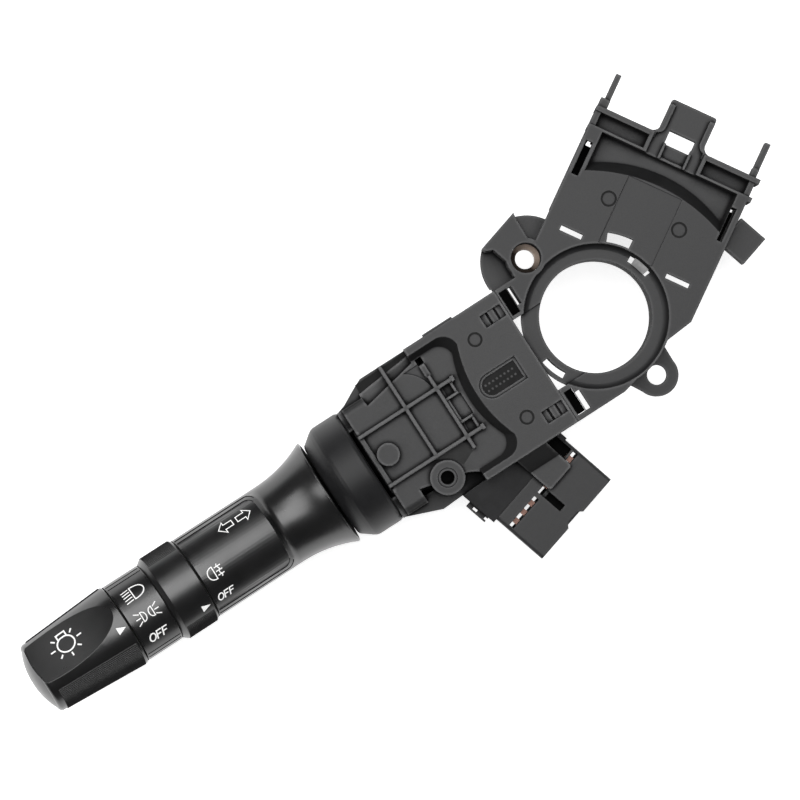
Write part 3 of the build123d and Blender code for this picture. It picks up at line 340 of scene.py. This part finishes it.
# Mounting bush: rolled bronze sleeve, pressed in the bracket's upper ear, that takes the
# screw's clamping load. Its colour is darkened towards its -x side as painted shade.
def metal(name, colour, roughness, grain):
    """Bare metal with fine turned or drawn marks of the given pitch in metres."""
    material, tree, shader = new_material(name)
    stain = cloud(tree, tree.nodes.new("ShaderNodeTexCoord").outputs["Object"], scale=1 / grain, detail=5)
    tint = two_tone(tree, stain, low=0.3, high=0.65, dark=[c * 0.7 for c in colour], light=colour)
    tree.links.new(tint, shader.inputs["Base Color"])
    gloss = span(tree, stain, low=0, high=1, to_low=roughness, to_high=roughness + 0.15)
    tree.links.new(gloss, shader.inputs["Roughness"])
    shader.inputs["Metallic"].default_value = 1.0
    return material


def shade_colour(material, factor):
    """Darken or lighten a whole material by a factor that its own nodes work out."""
    tree = material.node_tree
    colour = tree.nodes["Principled BSDF"].inputs["Base Color"]
    tree.links.new(scaled(tree, colour.links[0].from_socket, factor), colour)


bush_bronze = metal("bush_bronze", (0.46, 0.37, 0.31), roughness=0.5, grain=0.002)
bush_low, bush_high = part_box("mounting_bush")
bush_middle = (bush_low[0] + bush_high[0]) / 2
bush_tree = bush_bronze.node_tree
across_bush = bush_tree.nodes.new("ShaderNodeSeparateXYZ")
bush_tree.links.new(bush_tree.nodes.new("ShaderNodeTexCoord").outputs["Object"], across_bush.inputs[0])
# Painted shade: the bronze goes dark towards the bush's -x side and stays light on the +x side.
side_shade_start = bush_middle - 0.001
side_shade_end = bush_middle + 0.0035
painted_side_shade = span(bush_tree, across_bush.outputs["X"], low=side_shade_start, high=side_shade_end, to_low=0.05)
shade_colour(bush_bronze, painted_side_shade)
finish_node("mounting_bush", bush_bronze)

# Lower shell: the deep tray under the lever's mechanism, of a nylon that is a little darker
# and finer than the case's, held by self-tapping screws from below.
base_nylon = moulded("base_nylon", (0.020, 0.020, 0.021), roughness=0.48, grain=0.0005, depth=0.00002,
                     edge=0.0002)
finish_node("switch_base", base_nylon)

# Contact set: a phenolic board with plated copper tracks, the carriage that slides over it
# on copper brushes, the dimmer's carriage between its posts, and the lever's click track.
laminate = moulded("contact_laminate", (0.22, 0.12, 0.05), roughness=0.55, grain=0.0008, depth=0.00001,
                   edge=0.0001)
copper = metal("contact_copper", (0.33, 0.20, 0.165), roughness=0.45, grain=0.0015)
acetal = moulded("slider_acetal", (0.62, 0.60, 0.54), roughness=0.45, grain=0.0008, depth=0.00001,
                 edge=0.0002)
finish_node("contact_board", laminate)
for part in ("fixed_contacts", "turn_brushes"):
    finish_node(part, copper)
for part in ("dimmer_guide", "turn_slider", "dimmer_slider", "detent_track"):
    finish_node(part, acetal)

# Rocking frame and its cross pin: a black acetal frame that swings on its own two stubs, and
# the drawn steel pin that the lever nods on. The click pin and both springs are steel too.
steel = metal("pin_steel", (0.55, 0.55, 0.57), roughness=0.25, grain=0.001)
yoke_black = moulded("yoke_black", (0.012, 0.012, 0.012), roughness=0.5, grain=0.0008, depth=0.00001,
                     edge=0.0002)
finish_node("turn_yoke", yoke_black)
for part in ("cross_pin", "detent_plunger", "detent_spring", "cancel_spring"):
    finish_node(part, steel)

# Lever block: dull black hub of the stalk, with the neck that the handle is pushed on and
# the tail that holds the click pin.
finish_node("lever_block", black_and_painted_shade)

# Upper shell: charcoal nylon with tall stiffening ribs over the lever's mechanism, snap
# windows, a bullet-shaped recess with the mould's dots, and a plain plate next to the column.
stalk_arm = Matrix.Rotation(radians(-16.2), 4, "Z")
# Painted shade darkens this nylon's steep faces, and a painted highlight pales its sharp edges, by the last
# two factors.
case_nylon = moulded("case_nylon", (0.032, 0.032, 0.033), roughness=0.44, grain=0.0004, depth=0.00003,
                     edge=0.00045, rub=0.28, wall_shade=0.45, edge_highlight=2.0)
mark_nylon = plain("mark_nylon", (0.035, 0.035, 0.036), roughness=0.45, gloss=0.4)
# Dark finish only for a plate painted as shade.
painted_pocket_shade = plain("painted_pocket_shade", (0.013, 0.013, 0.013), roughness=0.6, gloss=0.4)
finish_node("switch_case", case_nylon)
finish_node("case_screws", steel)
finish_node("cancel_pawl", acetal)

# Black plates under the snap windows: painted shade where the windows look into the dark inside.
snap_shade_heights = (4.65, 5.0)
prism("snap_window_shade_upper", stalk_arm, box_outline(-20.9, -17.9, 13.4, 21.7), snap_shade_heights, black_and_painted_shade)
prism("snap_window_shade_lower", stalk_arm, box_outline(-20.9, -17.6, -22.2, -13.9), snap_shade_heights, black_and_painted_shade)
# Dark rings round the ejector marks: painted shade that makes their thin grooves look wider.
for name, x, y in (("ejector_ring_upper", -34.4, 13.8), ("ejector_ring_lower", -33.9, -14.2)):
    prism(name, stalk_arm, circle(x, y, 2.3), deck_skin, painted_shade_dark,
          holes=[circle(x, y, 1.75)])

bullet_y, bullet_half, bullet_nose_x, bullet_tail_x = -0.5, 3.1, -37.5, -28.0
# A dark plate on the bullet recess's floor: painted shade that stands for depth the recess doesn't have.
bullet_heights = (12.85, 12.97)
bullet_nose = arc(bullet_nose_x, bullet_y, bullet_half, bullet_half, 90, 270, 24)
bullet_tail = [(bullet_tail_x, bullet_y - bullet_half), (bullet_tail_x, bullet_y + bullet_half)]
prism("bullet_recess_shade", stalk_arm, bullet_nose + bullet_tail, bullet_heights, painted_shade_dark)
dot_start, dot_pitch, dot_offset, dot_radius = -39.2, 1.35, 0.95, 0.36
dot_heights = (12.9, 13.15)
for k in range(8):
    for row, side in (("low", -1), ("high", 1)):
        dot = circle(dot_start + dot_pitch * k, bullet_y + dot_offset * side, dot_radius, steps=12)
        prism("mould_dot_%d_%s" % (k + 1, row), stalk_arm, dot, dot_heights, mark_nylon)

# Dark plates painted as shade: one along the case's rim, one in the corner pocket, for depth the case
# doesn't have.
rim_outline = [(-72.3, 22.0), (-54.4, 22.4), (-54.4, 20.85), (-72.3, 19.2)]
rim_heights = (-0.05, 0.04)
prism("case_rim_shade", stalk_arm, rim_outline, rim_heights, painted_shade_dark)
corner_outline = [(-65.6, -9.3), (-55.4, -9.3), (-54.8, -9.6), (-53.6, -10.9), (-52.9, -14.0),
                  (-57.4, -16.0), (-58.8, -13.2), (-60.9, -11.6)]
corner_heights = (8.95, 9.03)
prism("corner_pocket_shade", stalk_arm, corner_outline, corner_heights, painted_pocket_shade)

# Collar: separate satin ring with a coned nose, pushed on the shells' round mouth, that the
# lever's flare swings over.
collar_black = moulded("collar_black", (0.010, 0.010, 0.011), roughness=0.46, grain=0.0003, depth=0.00001,
                       edge=0.0004)
finish_node("stalk_collar", collar_black)

# Inner tube of the stalk: drawn steel, pressed in the lever block's neck. The handle, both
# rings and the knob are pushed on it.
finish_node("stalk_core", steel)


# Handle: black satin tube that flares over the collar, with a raised smooth pad for the
# symbols of the turn signals and the rear fog lamp.
def smooth_copy(name, node, body, material):
    """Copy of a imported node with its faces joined, so that its curves shade smoothly."""
    shape = bmesh.new()
    shape.from_mesh(nodes[node].data)
    bmesh.ops.remove_doubles(shape, verts=shape.verts, dist=2e-6)
    bmesh.ops.recalc_face_normals(shape, faces=shape.faces)
    mesh = bpy.data.meshes.new(name)
    shape.to_mesh(mesh)
    shape.free()
    mesh.materials.append(material)
    mesh.shade_smooth()
    mesh.set_sharp_from_angle(angle=radians(24))
    piece = put_in_scene(name, mesh)
    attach(piece, body)
    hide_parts(node)


stalk_black = moulded("stalk_black", (0.004, 0.004, 0.0043), roughness=0.30, grain=0.0003, depth=0.000004,
                      edge=0.0002)
set_inputs(stalk_black.node_tree.nodes["Principled BSDF"], {"IOR": 1.55, "Specular IOR Level": 0.78})
finish_node("lever_tube", stalk_black)
smooth_copy("handle_skin", "lever_tube", "lever", stalk_black)

selector = next(joint for joint in frame["joints"] if joint["name"] == "light_selector")
inward = -Vector(selector["axis"])
driver_side = (Vector((0, 0, 1)) - inward * inward.z).normalized()
handle = Matrix((inward, driver_side.cross(inward), driver_side)).transposed().to_4x4()
handle.translation = Vector(selector["pos_m"])
past_handle = 0.03


def along_handle(name):
    """Where a node starts and ends along the handle, from the selector's point towards the column."""
    reach = [(vertex.co - handle.translation).dot(inward) for vertex in nodes[name].data.vertices]
    return min(reach), max(reach)


def skin(name):
    """Search tree of a node's faces."""
    mesh = nodes[name].data
    corners = [vertex.co for vertex in mesh.vertices]
    return BVHTree.FromPolygons(corners, [polygon.vertices for polygon in mesh.polygons])


def radius_at(name, x, angle):
    """A node's outer radius at x along the handle, at an angle from the driver's side."""
    turn = handle @ Matrix.Rotation(-angle, 4, "X")
    outward = turn.to_3x3() @ Vector((0, 0, 1))
    hit = skin(name).ray_cast(turn @ Vector((x, 0, past_handle)), -outward)[0]
    return (hit - turn @ Vector((x, 0, 0))).length


glowing_symbol_white, ink_tree, ink_shader = new_material("glowing_symbol_white")
ink_cloud = cloud(ink_tree, ink_tree.nodes.new("ShaderNodeTexCoord").outputs["Object"], scale=900)
ink_tint = two_tone(ink_tree, ink_cloud, low=0, high=1, dark=(0.80, 0.80, 0.79), light=(0.95, 0.95, 0.94))
ink_tree.links.new(ink_tint, ink_shader.inputs["Base Color"])
# The ink also glows faintly: painted light that makes the symbols read whiter.
set_inputs(ink_shader, {"Roughness": 0.5, "Emission Color": (1, 1, 1, 1), "Emission Strength": 0.3})
ink_lift = 0.00005
ink_sink = 0.00003
longest_edge = 0.0006


def stroke_outline(points, width, closed):
    """Left and right edges of a pen stroke, in millimetres."""
    count = len(points)
    left, right = [], []
    for k, point in enumerate(points):
        before = points[(k - 1) % count] if closed or k else point
        after = points[(k + 1) % count] if closed or k < count - 1 else point
        first = (Vector(point) - Vector(before)).normalized() if before is not point else None
        second = (Vector(after) - Vector(point)).normalized() if after is not point else None
        first, second = first or second, second or first
        normal = Vector((-(first + second).y, (first + second).x)).normalized()
        spread = width / 2 / max(0.5, normal.dot(Vector((-second.y, second.x))))
        left.append(Vector(point) + normal * spread)
        right.append(Vector(point) - normal * spread)
    return left, right


def printed(name, surface, body, x, angle, strokes=(), fills=(), slide=0.0, ink=glowing_symbol_white):
    """Symbol printed on a surface: drawn flat in millimetres, then laid on the node from outside."""
    shape = bmesh.new()

    def patch(corners):
        flat = [shape.verts.new((corner[0] / 1000, corner[1] / 1000, 0)) for corner in corners]
        shape.faces.new(flat)

    for points, width, closed in strokes:
        left, right = stroke_outline(points, width, closed)
        last = len(points) if closed else len(points) - 1
        for k in range(last):
            n = (k + 1) % len(points)
            patch([right[k], right[n], left[n], left[k]])
    for corners in fills:
        patch(corners)
    bmesh.ops.remove_doubles(shape, verts=shape.verts, dist=weld)
    bmesh.ops.triangulate(shape, faces=shape.faces)
    for _ in range(3):
        long_edges = [edge for edge in shape.edges if edge.calc_length() > longest_edge]
        if long_edges:
            bmesh.ops.subdivide_edges(shape, edges=long_edges, cuts=1)
            bmesh.ops.triangulate(shape, faces=[face for face in shape.faces if len(face.verts) > 3])
    bmesh.ops.recalc_face_normals(shape, faces=shape.faces)
    if sum(face.normal.z for face in shape.faces) < 0:
        bmesh.ops.reverse_faces(shape, faces=shape.faces)
    made = bmesh.ops.extrude_face_region(shape, geom=list(shape.faces), use_keep_orig=True)
    raised = {item for item in made["geom"] if isinstance(item, bmesh.types.BMVert)}
    under = [face for face in shape.faces if all(vert not in raised for vert in face.verts)]
    bmesh.ops.reverse_faces(shape, faces=under)

    turn = handle @ Matrix.Rotation(-angle, 4, "X")
    outward = turn.to_3x3() @ Vector((0, 0, 1))
    tree = skin(surface)
    for vert in shape.verts:
        start = turn @ Vector((x + vert.co.x, slide + vert.co.y, past_handle))
        hit = tree.ray_cast(start, -outward)[0]
        vert.co = hit + outward * (ink_lift if vert in raised else -ink_sink)
    mesh = bpy.data.meshes.new(name)
    shape.to_mesh(mesh)
    shape.free()
    mesh.materials.append(ink)
    piece = put_in_scene(name, mesh)
    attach(piece, body)


def off_word(height):
    """The word OFF in bold slanted capitals, centred, with its lines' width."""
    pen = 0.14 * height
    slant = 0.18
    h, w = height / 2 - pen / 2, 0.29 * height
    strokes = [(arc(-0.72 * height, 0, w * 1.12, h, 0, 345, 23), pen, True)]
    for left in (-0.22 * height, 0.45 * height):
        strokes.append(([(left, h + pen / 2), (left, -h - pen / 2)], pen, False))
        strokes.append(([(left, h), (left + 0.52 * height, h)], pen, False))
        strokes.append(([(left, 0.02 * height), (left + 0.45 * height, 0.02 * height)], pen, False))
    return [([(x + slant * y, y) for x, y in points], width, closed) for points, width, closed in strokes]


def lamp(cx, cy, width, height, side):
    """Lamp outline, flat on one side; side is 1 where its round back is on the right, and -1 on the left."""
    fullness = 0.8
    flat_x = cx - side * width / 2
    back = [(flat_x + side * width * cos(radians(turn)) ** fullness, cy + height / 2 * sin(radians(turn)))
            for turn in range(84, -85, -12)]
    return [(flat_x, cy + height / 2)] + back + [(flat_x, cy - height / 2)]


tube_start = along_handle("lever_tube")[0]
# Black lines at the foot of the pad's two steps: painted shadow of the steps.
corner = 2.5
shadow_line_width = 0.34
pad_step_shadows = []
for side in (-1, 1):
    for end, half in ((27.45, 12.75), (26.45, 11.75)):
        bend = arc(end - corner, half - corner, corner, corner, 90, 20, 5)
        pad_step_shadows.append(([(x, side * y) for x, y in [(0.2, half)] + bend], shadow_line_width, False))
printed("handle_pad_step_shadows", "lever_tube", "lever", x=tube_start, angle=0, strokes=pad_step_shadows,
        ink=black_and_painted_shade)

arrow = [(2.45, 0), (0.35, 2.1), (0.35, 0.95), (-2.45, 0.95), (-2.45, -0.95), (0.35, -0.95), (0.35, -2.1)]
arrow_pen = 0.3
for name, side, middle in (("turn_arrow_left", -1, 0.0148), ("turn_arrow_right", 1, 0.0212)):
    printed(name, "lever_tube", "lever", x=tube_start + middle, angle=radians(36),
            strokes=[([(side * x, y) for x, y in arrow], arrow_pen, True)])

ray_pen, wave_pen, lamp_pen = 0.32, 0.3, 0.33
fog_rays = [([(0.35, y), (2.5, y)], ray_pen, False) for y in (1.35, 0.05, -1.25)]
fog_wave = ([(1.45 + 0.22 * sin(y * 3.2), y) for y in [2.1 - 0.3 * k for k in range(15)]], wave_pen, False)
fog_lamp = (lamp(-1.35, 0, 2.2, 4.0, -1), lamp_pen, True)
printed("rear_fog_symbol", "lever_tube", "lever", x=tube_start + 0.0045, angle=radians(-6),
        strokes=[fog_lamp, fog_wave] + fog_rays)
printed("fog_off_word", "lever_tube", "lever", x=tube_start + 0.0044, angle=radians(-37),
        strokes=off_word(2.7))

# Label ring: fixed black ring between the knob and the fog ring. The lamp switch's three
# positions are printed on it, and its contact board and wipers lie behind it, under the knob.
finish_node("label_ring", stalk_black)
finish_node("light_contact_board", laminate)
finish_node("knob_wipers", copper)
label_start, label_end = along_handle("label_ring")
label_middle = (label_start + label_end) / 2

beam_pen, headlamp_pen, side_lamp_pen = 0.3, 0.34, 0.32
beams = [([(-3.5, y - 0.12), (-0.95, y + 0.12)], beam_pen, False) for y in (1.95, 1.0, 0.05, -0.95, -1.95)]
headlamp = (lamp(1.5, 0.1, 3.9, 4.2, 1), headlamp_pen, True)
printed("headlamp_symbol", "label_ring", "lever", x=label_middle, angle=radians(29.5),
        strokes=[headlamp] + beams)
side_lamps = []
for side in (-1, 1):
    side_lamps.append((lamp(side * 1.2, 0, 1.35, 3.0, -side), side_lamp_pen, True))
    for spread in (-1, 0, 1):
        ray = [(side * 2.35, spread * 1.15), (side * 3.9, spread * 2.0)]
        side_lamps.append((ray, side_lamp_pen, False))
printed("side_lamp_symbol", "label_ring", "lever", x=label_middle, angle=radians(-3.7), strokes=side_lamps)
printed("lamps_off_word", "label_ring", "lever", x=label_middle, angle=radians(-35), strokes=off_word(3.0))
# Black lines along the label ring's pad edges: painted shadow of the steps.
shadow_margin = 0.3
shadow_line_width = 0.25
shadow_end = (label_end - label_start) * 1000 - shadow_margin
for name, side in (("label_pad_step_shadows_left", -1), ("label_pad_step_shadows_right", 1)):
    step_shadows = [([(shadow_margin, side * half), (shadow_end, side * half)], shadow_line_width, False)
               for half in (11.2, 12.15)]
    printed(name, "label_ring", "lever", x=label_start, angle=0, strokes=step_shadows, ink=black_and_painted_shade)


# Fog ring: turning ring with a fine straight knurl round its back and sides, and a white
# mark that points to the rear fog lamp's positions.
def knurl_tree():
    """Nodes that stand straight ribs round part of a cone."""
    tree = bpy.data.node_groups.new("straight_knurl", "GeometryNodeTree")
    tree.interface.new_socket(name="Count", in_out="INPUT", socket_type="NodeSocketInt")
    for socket in ("Radius", "Far Radius", "Length", "Rib Width", "Start Angle", "Sweep"):
        tree.interface.new_socket(name=socket, in_out="INPUT", socket_type="NodeSocketFloat")
    tree.interface.new_socket(name="Finish", in_out="INPUT", socket_type="NodeSocketMaterial")
    tree.interface.new_socket(name="Geometry", in_out="OUTPUT", socket_type="NodeSocketGeometry")
    add = tree.nodes.new
    link = tree.links.new
    given = add("NodeGroupInput").outputs
    out = add("NodeGroupOutput").inputs

    def compute(operation, first, second=0):
        node = add("ShaderNodeMath")
        node.operation = operation
        for socket, value in zip(node.inputs, (first, second)):
            if isinstance(value, (int, float)):
                socket.default_value = value
            else:
                link(value, socket)
        return node.outputs[0]

    row = add("GeometryNodeMeshLine")
    link(given["Count"], row.inputs["Count"])
    index = add("GeometryNodeInputIndex").outputs[0]
    share = compute("DIVIDE", index, compute("SUBTRACT", given["Count"], 1))
    angle = compute("ADD", given["Start Angle"], compute("MULTIPLY", share, given["Sweep"]))
    place = add("ShaderNodeCombineXYZ")
    link(compute("MULTIPLY", given["Radius"], compute("SINE", angle)), place.inputs["Y"])
    link(compute("MULTIPLY", given["Radius"], compute("COSINE", angle)), place.inputs["Z"])
    spread = add("GeometryNodeSetPosition")
    link(row.outputs["Mesh"], spread.inputs["Geometry"])
    link(place.outputs[0], spread.inputs["Position"])

    half_diagonal = 0.707
    rib = add("GeometryNodeMeshCylinder")
    rib.inputs["Vertices"].default_value = 4
    link(compute("MULTIPLY", given["Rib Width"], half_diagonal), rib.inputs["Radius"])
    link(given["Length"], rib.inputs["Depth"])
    lay = add("GeometryNodeTransform")
    lay.inputs["Rotation"].default_value = (0, pi / 2, 0)
    link(rib.outputs["Mesh"], lay.inputs["Geometry"])
    shift = add("ShaderNodeCombineXYZ")
    link(compute("MULTIPLY", given["Length"], -0.5), shift.inputs["X"])
    move = add("GeometryNodeTransform")
    link(lay.outputs[0], move.inputs["Geometry"])
    link(shift.outputs[0], move.inputs["Translation"])
    narrowing = compute("SUBTRACT", given["Radius"], given["Far Radius"])
    taper = compute("ARCTANGENT", compute("DIVIDE", narrowing, given["Length"]))
    lean = add("ShaderNodeCombineXYZ")
    link(compute("MULTIPLY", taper, -1), lean.inputs["Y"])
    tilt = add("GeometryNodeTransform")
    link(move.outputs[0], tilt.inputs["Geometry"])
    link(lean.outputs[0], tilt.inputs["Rotation"])

    stand = add("GeometryNodeInstanceOnPoints")
    link(spread.outputs[0], stand.inputs["Points"])
    link(tilt.outputs[0], stand.inputs["Instance"])
    face = add("ShaderNodeCombineXYZ")
    link(compute("MULTIPLY", angle, -1), face.inputs["X"])
    link(face.outputs[0], stand.inputs["Rotation"])
    solid = add("GeometryNodeRealizeInstances")
    link(stand.outputs[0], solid.inputs[0])
    coat = add("GeometryNodeSetMaterial")
    link(solid.outputs[0], coat.inputs["Geometry"])
    link(given["Finish"], coat.inputs["Material"])
    link(coat.outputs[0], out["Geometry"])
    return tree


straight_knurl = knurl_tree()
knurl_black = moulded("knurl_black", (0.035, 0.035, 0.036), roughness=0.5, grain=0.0003, depth=0.00001,
                      edge=0.0001)
# Painted sheen: the ribs' colour is darker where they face the view and many times lighter where seen
# edge-on.
edge_view = knurl_black.node_tree.nodes.new("ShaderNodeLayerWeight")
edge_view.inputs["Blend"].default_value = 0.5
painted_grazing_sheen = span(knurl_black.node_tree, edge_view.outputs["Facing"], low=0.25, high=0.95, to_low=0.35,
                 to_high=9.0)
shade_colour(knurl_black, painted_grazing_sheen)
rib_pitch = 0.00062
rib_width = 0.0003


def knurl(name, body, x, radius, far_radius, length, start, sweep):
    """Ribs on a turning ring, from x outwards, as one mesh on its body."""
    maker = put_in_scene(name + "_maker", bpy.data.meshes.new(name + "_maker"))
    modifier = maker.modifiers.new("ribs", "NODES")
    modifier.node_group = straight_knurl
    values = {"Count": int(radius * sweep / rib_pitch), "Radius": radius, "Far Radius": far_radius,
              "Length": length, "Rib Width": rib_width, "Start Angle": start, "Sweep": sweep,
              "Finish": knurl_black}
    for item in straight_knurl.interface.items_tree:
        if item.in_out == "INPUT":
            modifier[item.identifier] = values[item.name]
    seen = maker.evaluated_get(bpy.context.evaluated_depsgraph_get())
    mesh = bpy.data.meshes.new_from_object(seen)
    bpy.data.objects.remove(maker)
    mesh.transform(handle @ Matrix.Translation((x, 0, 0)))
    mesh.name = name
    piece = put_in_scene(name, mesh)
    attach(piece, body)


finish_node("fog_ring", stalk_black)
fog_start, fog_end = along_handle("fog_ring")
fog_radius = radius_at("fog_ring", (fog_start + fog_end) / 2, pi)
fog_smooth = radians(50)
fog_lip = 0.0008
fog_bands = 0.0026
knurl("fog_ring_knurl", "fog_selector", fog_end - fog_lip, fog_radius, fog_radius,
      length=fog_end - fog_start - fog_bands, start=fog_smooth, sweep=2 * pi - 2 * fog_smooth)
printed("fog_mark", "fog_ring", "fog_selector", x=fog_end - 0.0026, angle=radians(-38.5),
        fills=[[(1.4, 0), (-1.4, 1.15), (-1.4, -1.15)]])

# Light knob: round end knob with a thumb scoop on the driver's side. It has the same straight
# knurl, the lamp symbol in the scoop, and a white mark for the three positions.
finish_node("light_knob", stalk_black)
knob_start, knob_end = along_handle("light_knob")
knob_lip = 0.001
knob_bands = 0.0056
rib_near = knob_end - knob_lip
rib_length = knob_end - knob_start - knob_bands
near_radius = radius_at("light_knob", rib_near, pi)
far_radius = radius_at("light_knob", rib_near - rib_length, pi)
knurl("light_knob_knurl", "knob", rib_near, near_radius, far_radius, length=rib_length, start=radians(81),
      sweep=radians(250))

bulb_pen = 0.46
bulb = [(arc(0, 0, 2.75, 2.55, 105, 435, 28), bulb_pen, True),
        ([(-1.45, 2.4), (-1.45, 3.9), (1.45, 3.9), (1.45, 2.4)], bulb_pen, False)]
for turn in (0, 45, 135, 180, 225, 270, 315):
    inner, outer = (3.75, 5.35) if turn in (0, 180) else (3.7, 5.1)
    ray = [(reach * cos(radians(turn)), reach * sin(radians(turn)) * 0.9) for reach in (inner, outer)]
    bulb.append((ray, bulb_pen, False))
printed("lamp_symbol", "light_knob", "knob", x=knob_end - 0.0182, angle=radians(26), strokes=bulb,
        slide=0.0006)
printed("knob_mark", "light_knob", "knob", x=knob_end - 0.0025, angle=radians(-2.4),
        fills=[[(1.4, 0), (-1.4, 1.2), (-1.4, -1.2)]])

# Terminal cover and plug socket: charcoal nylon over the conductors, with the copper blades
# showing through the slit and inside the mouth, and a small harness clip on the side.
socket_nylon = moulded("socket_nylon", (0.024, 0.024, 0.025), roughness=0.46, grain=0.0004, depth=0.00003,
                       edge=0.00028)
for part in ("terminal_cover", "connector_shroud", "harness_clip"):
    finish_node(part, socket_nylon)
finish_node("connector_terminals", copper)
# Black plates low in the socket: painted shade over the floors under the blades and the slit.
blade_shade_heights = (-0.95, -0.6)
mouth_heights = (-2.5, -2.25)
prism("blade_well_shade", column_axes, box_outline(-38.15, -34.75, -21.2, -14.7), blade_shade_heights, black_and_painted_shade)
prism("socket_shade", column_axes, box_outline(-51.2, -48.3, -31.3, -23.0), mouth_heights, black_and_painted_shade)
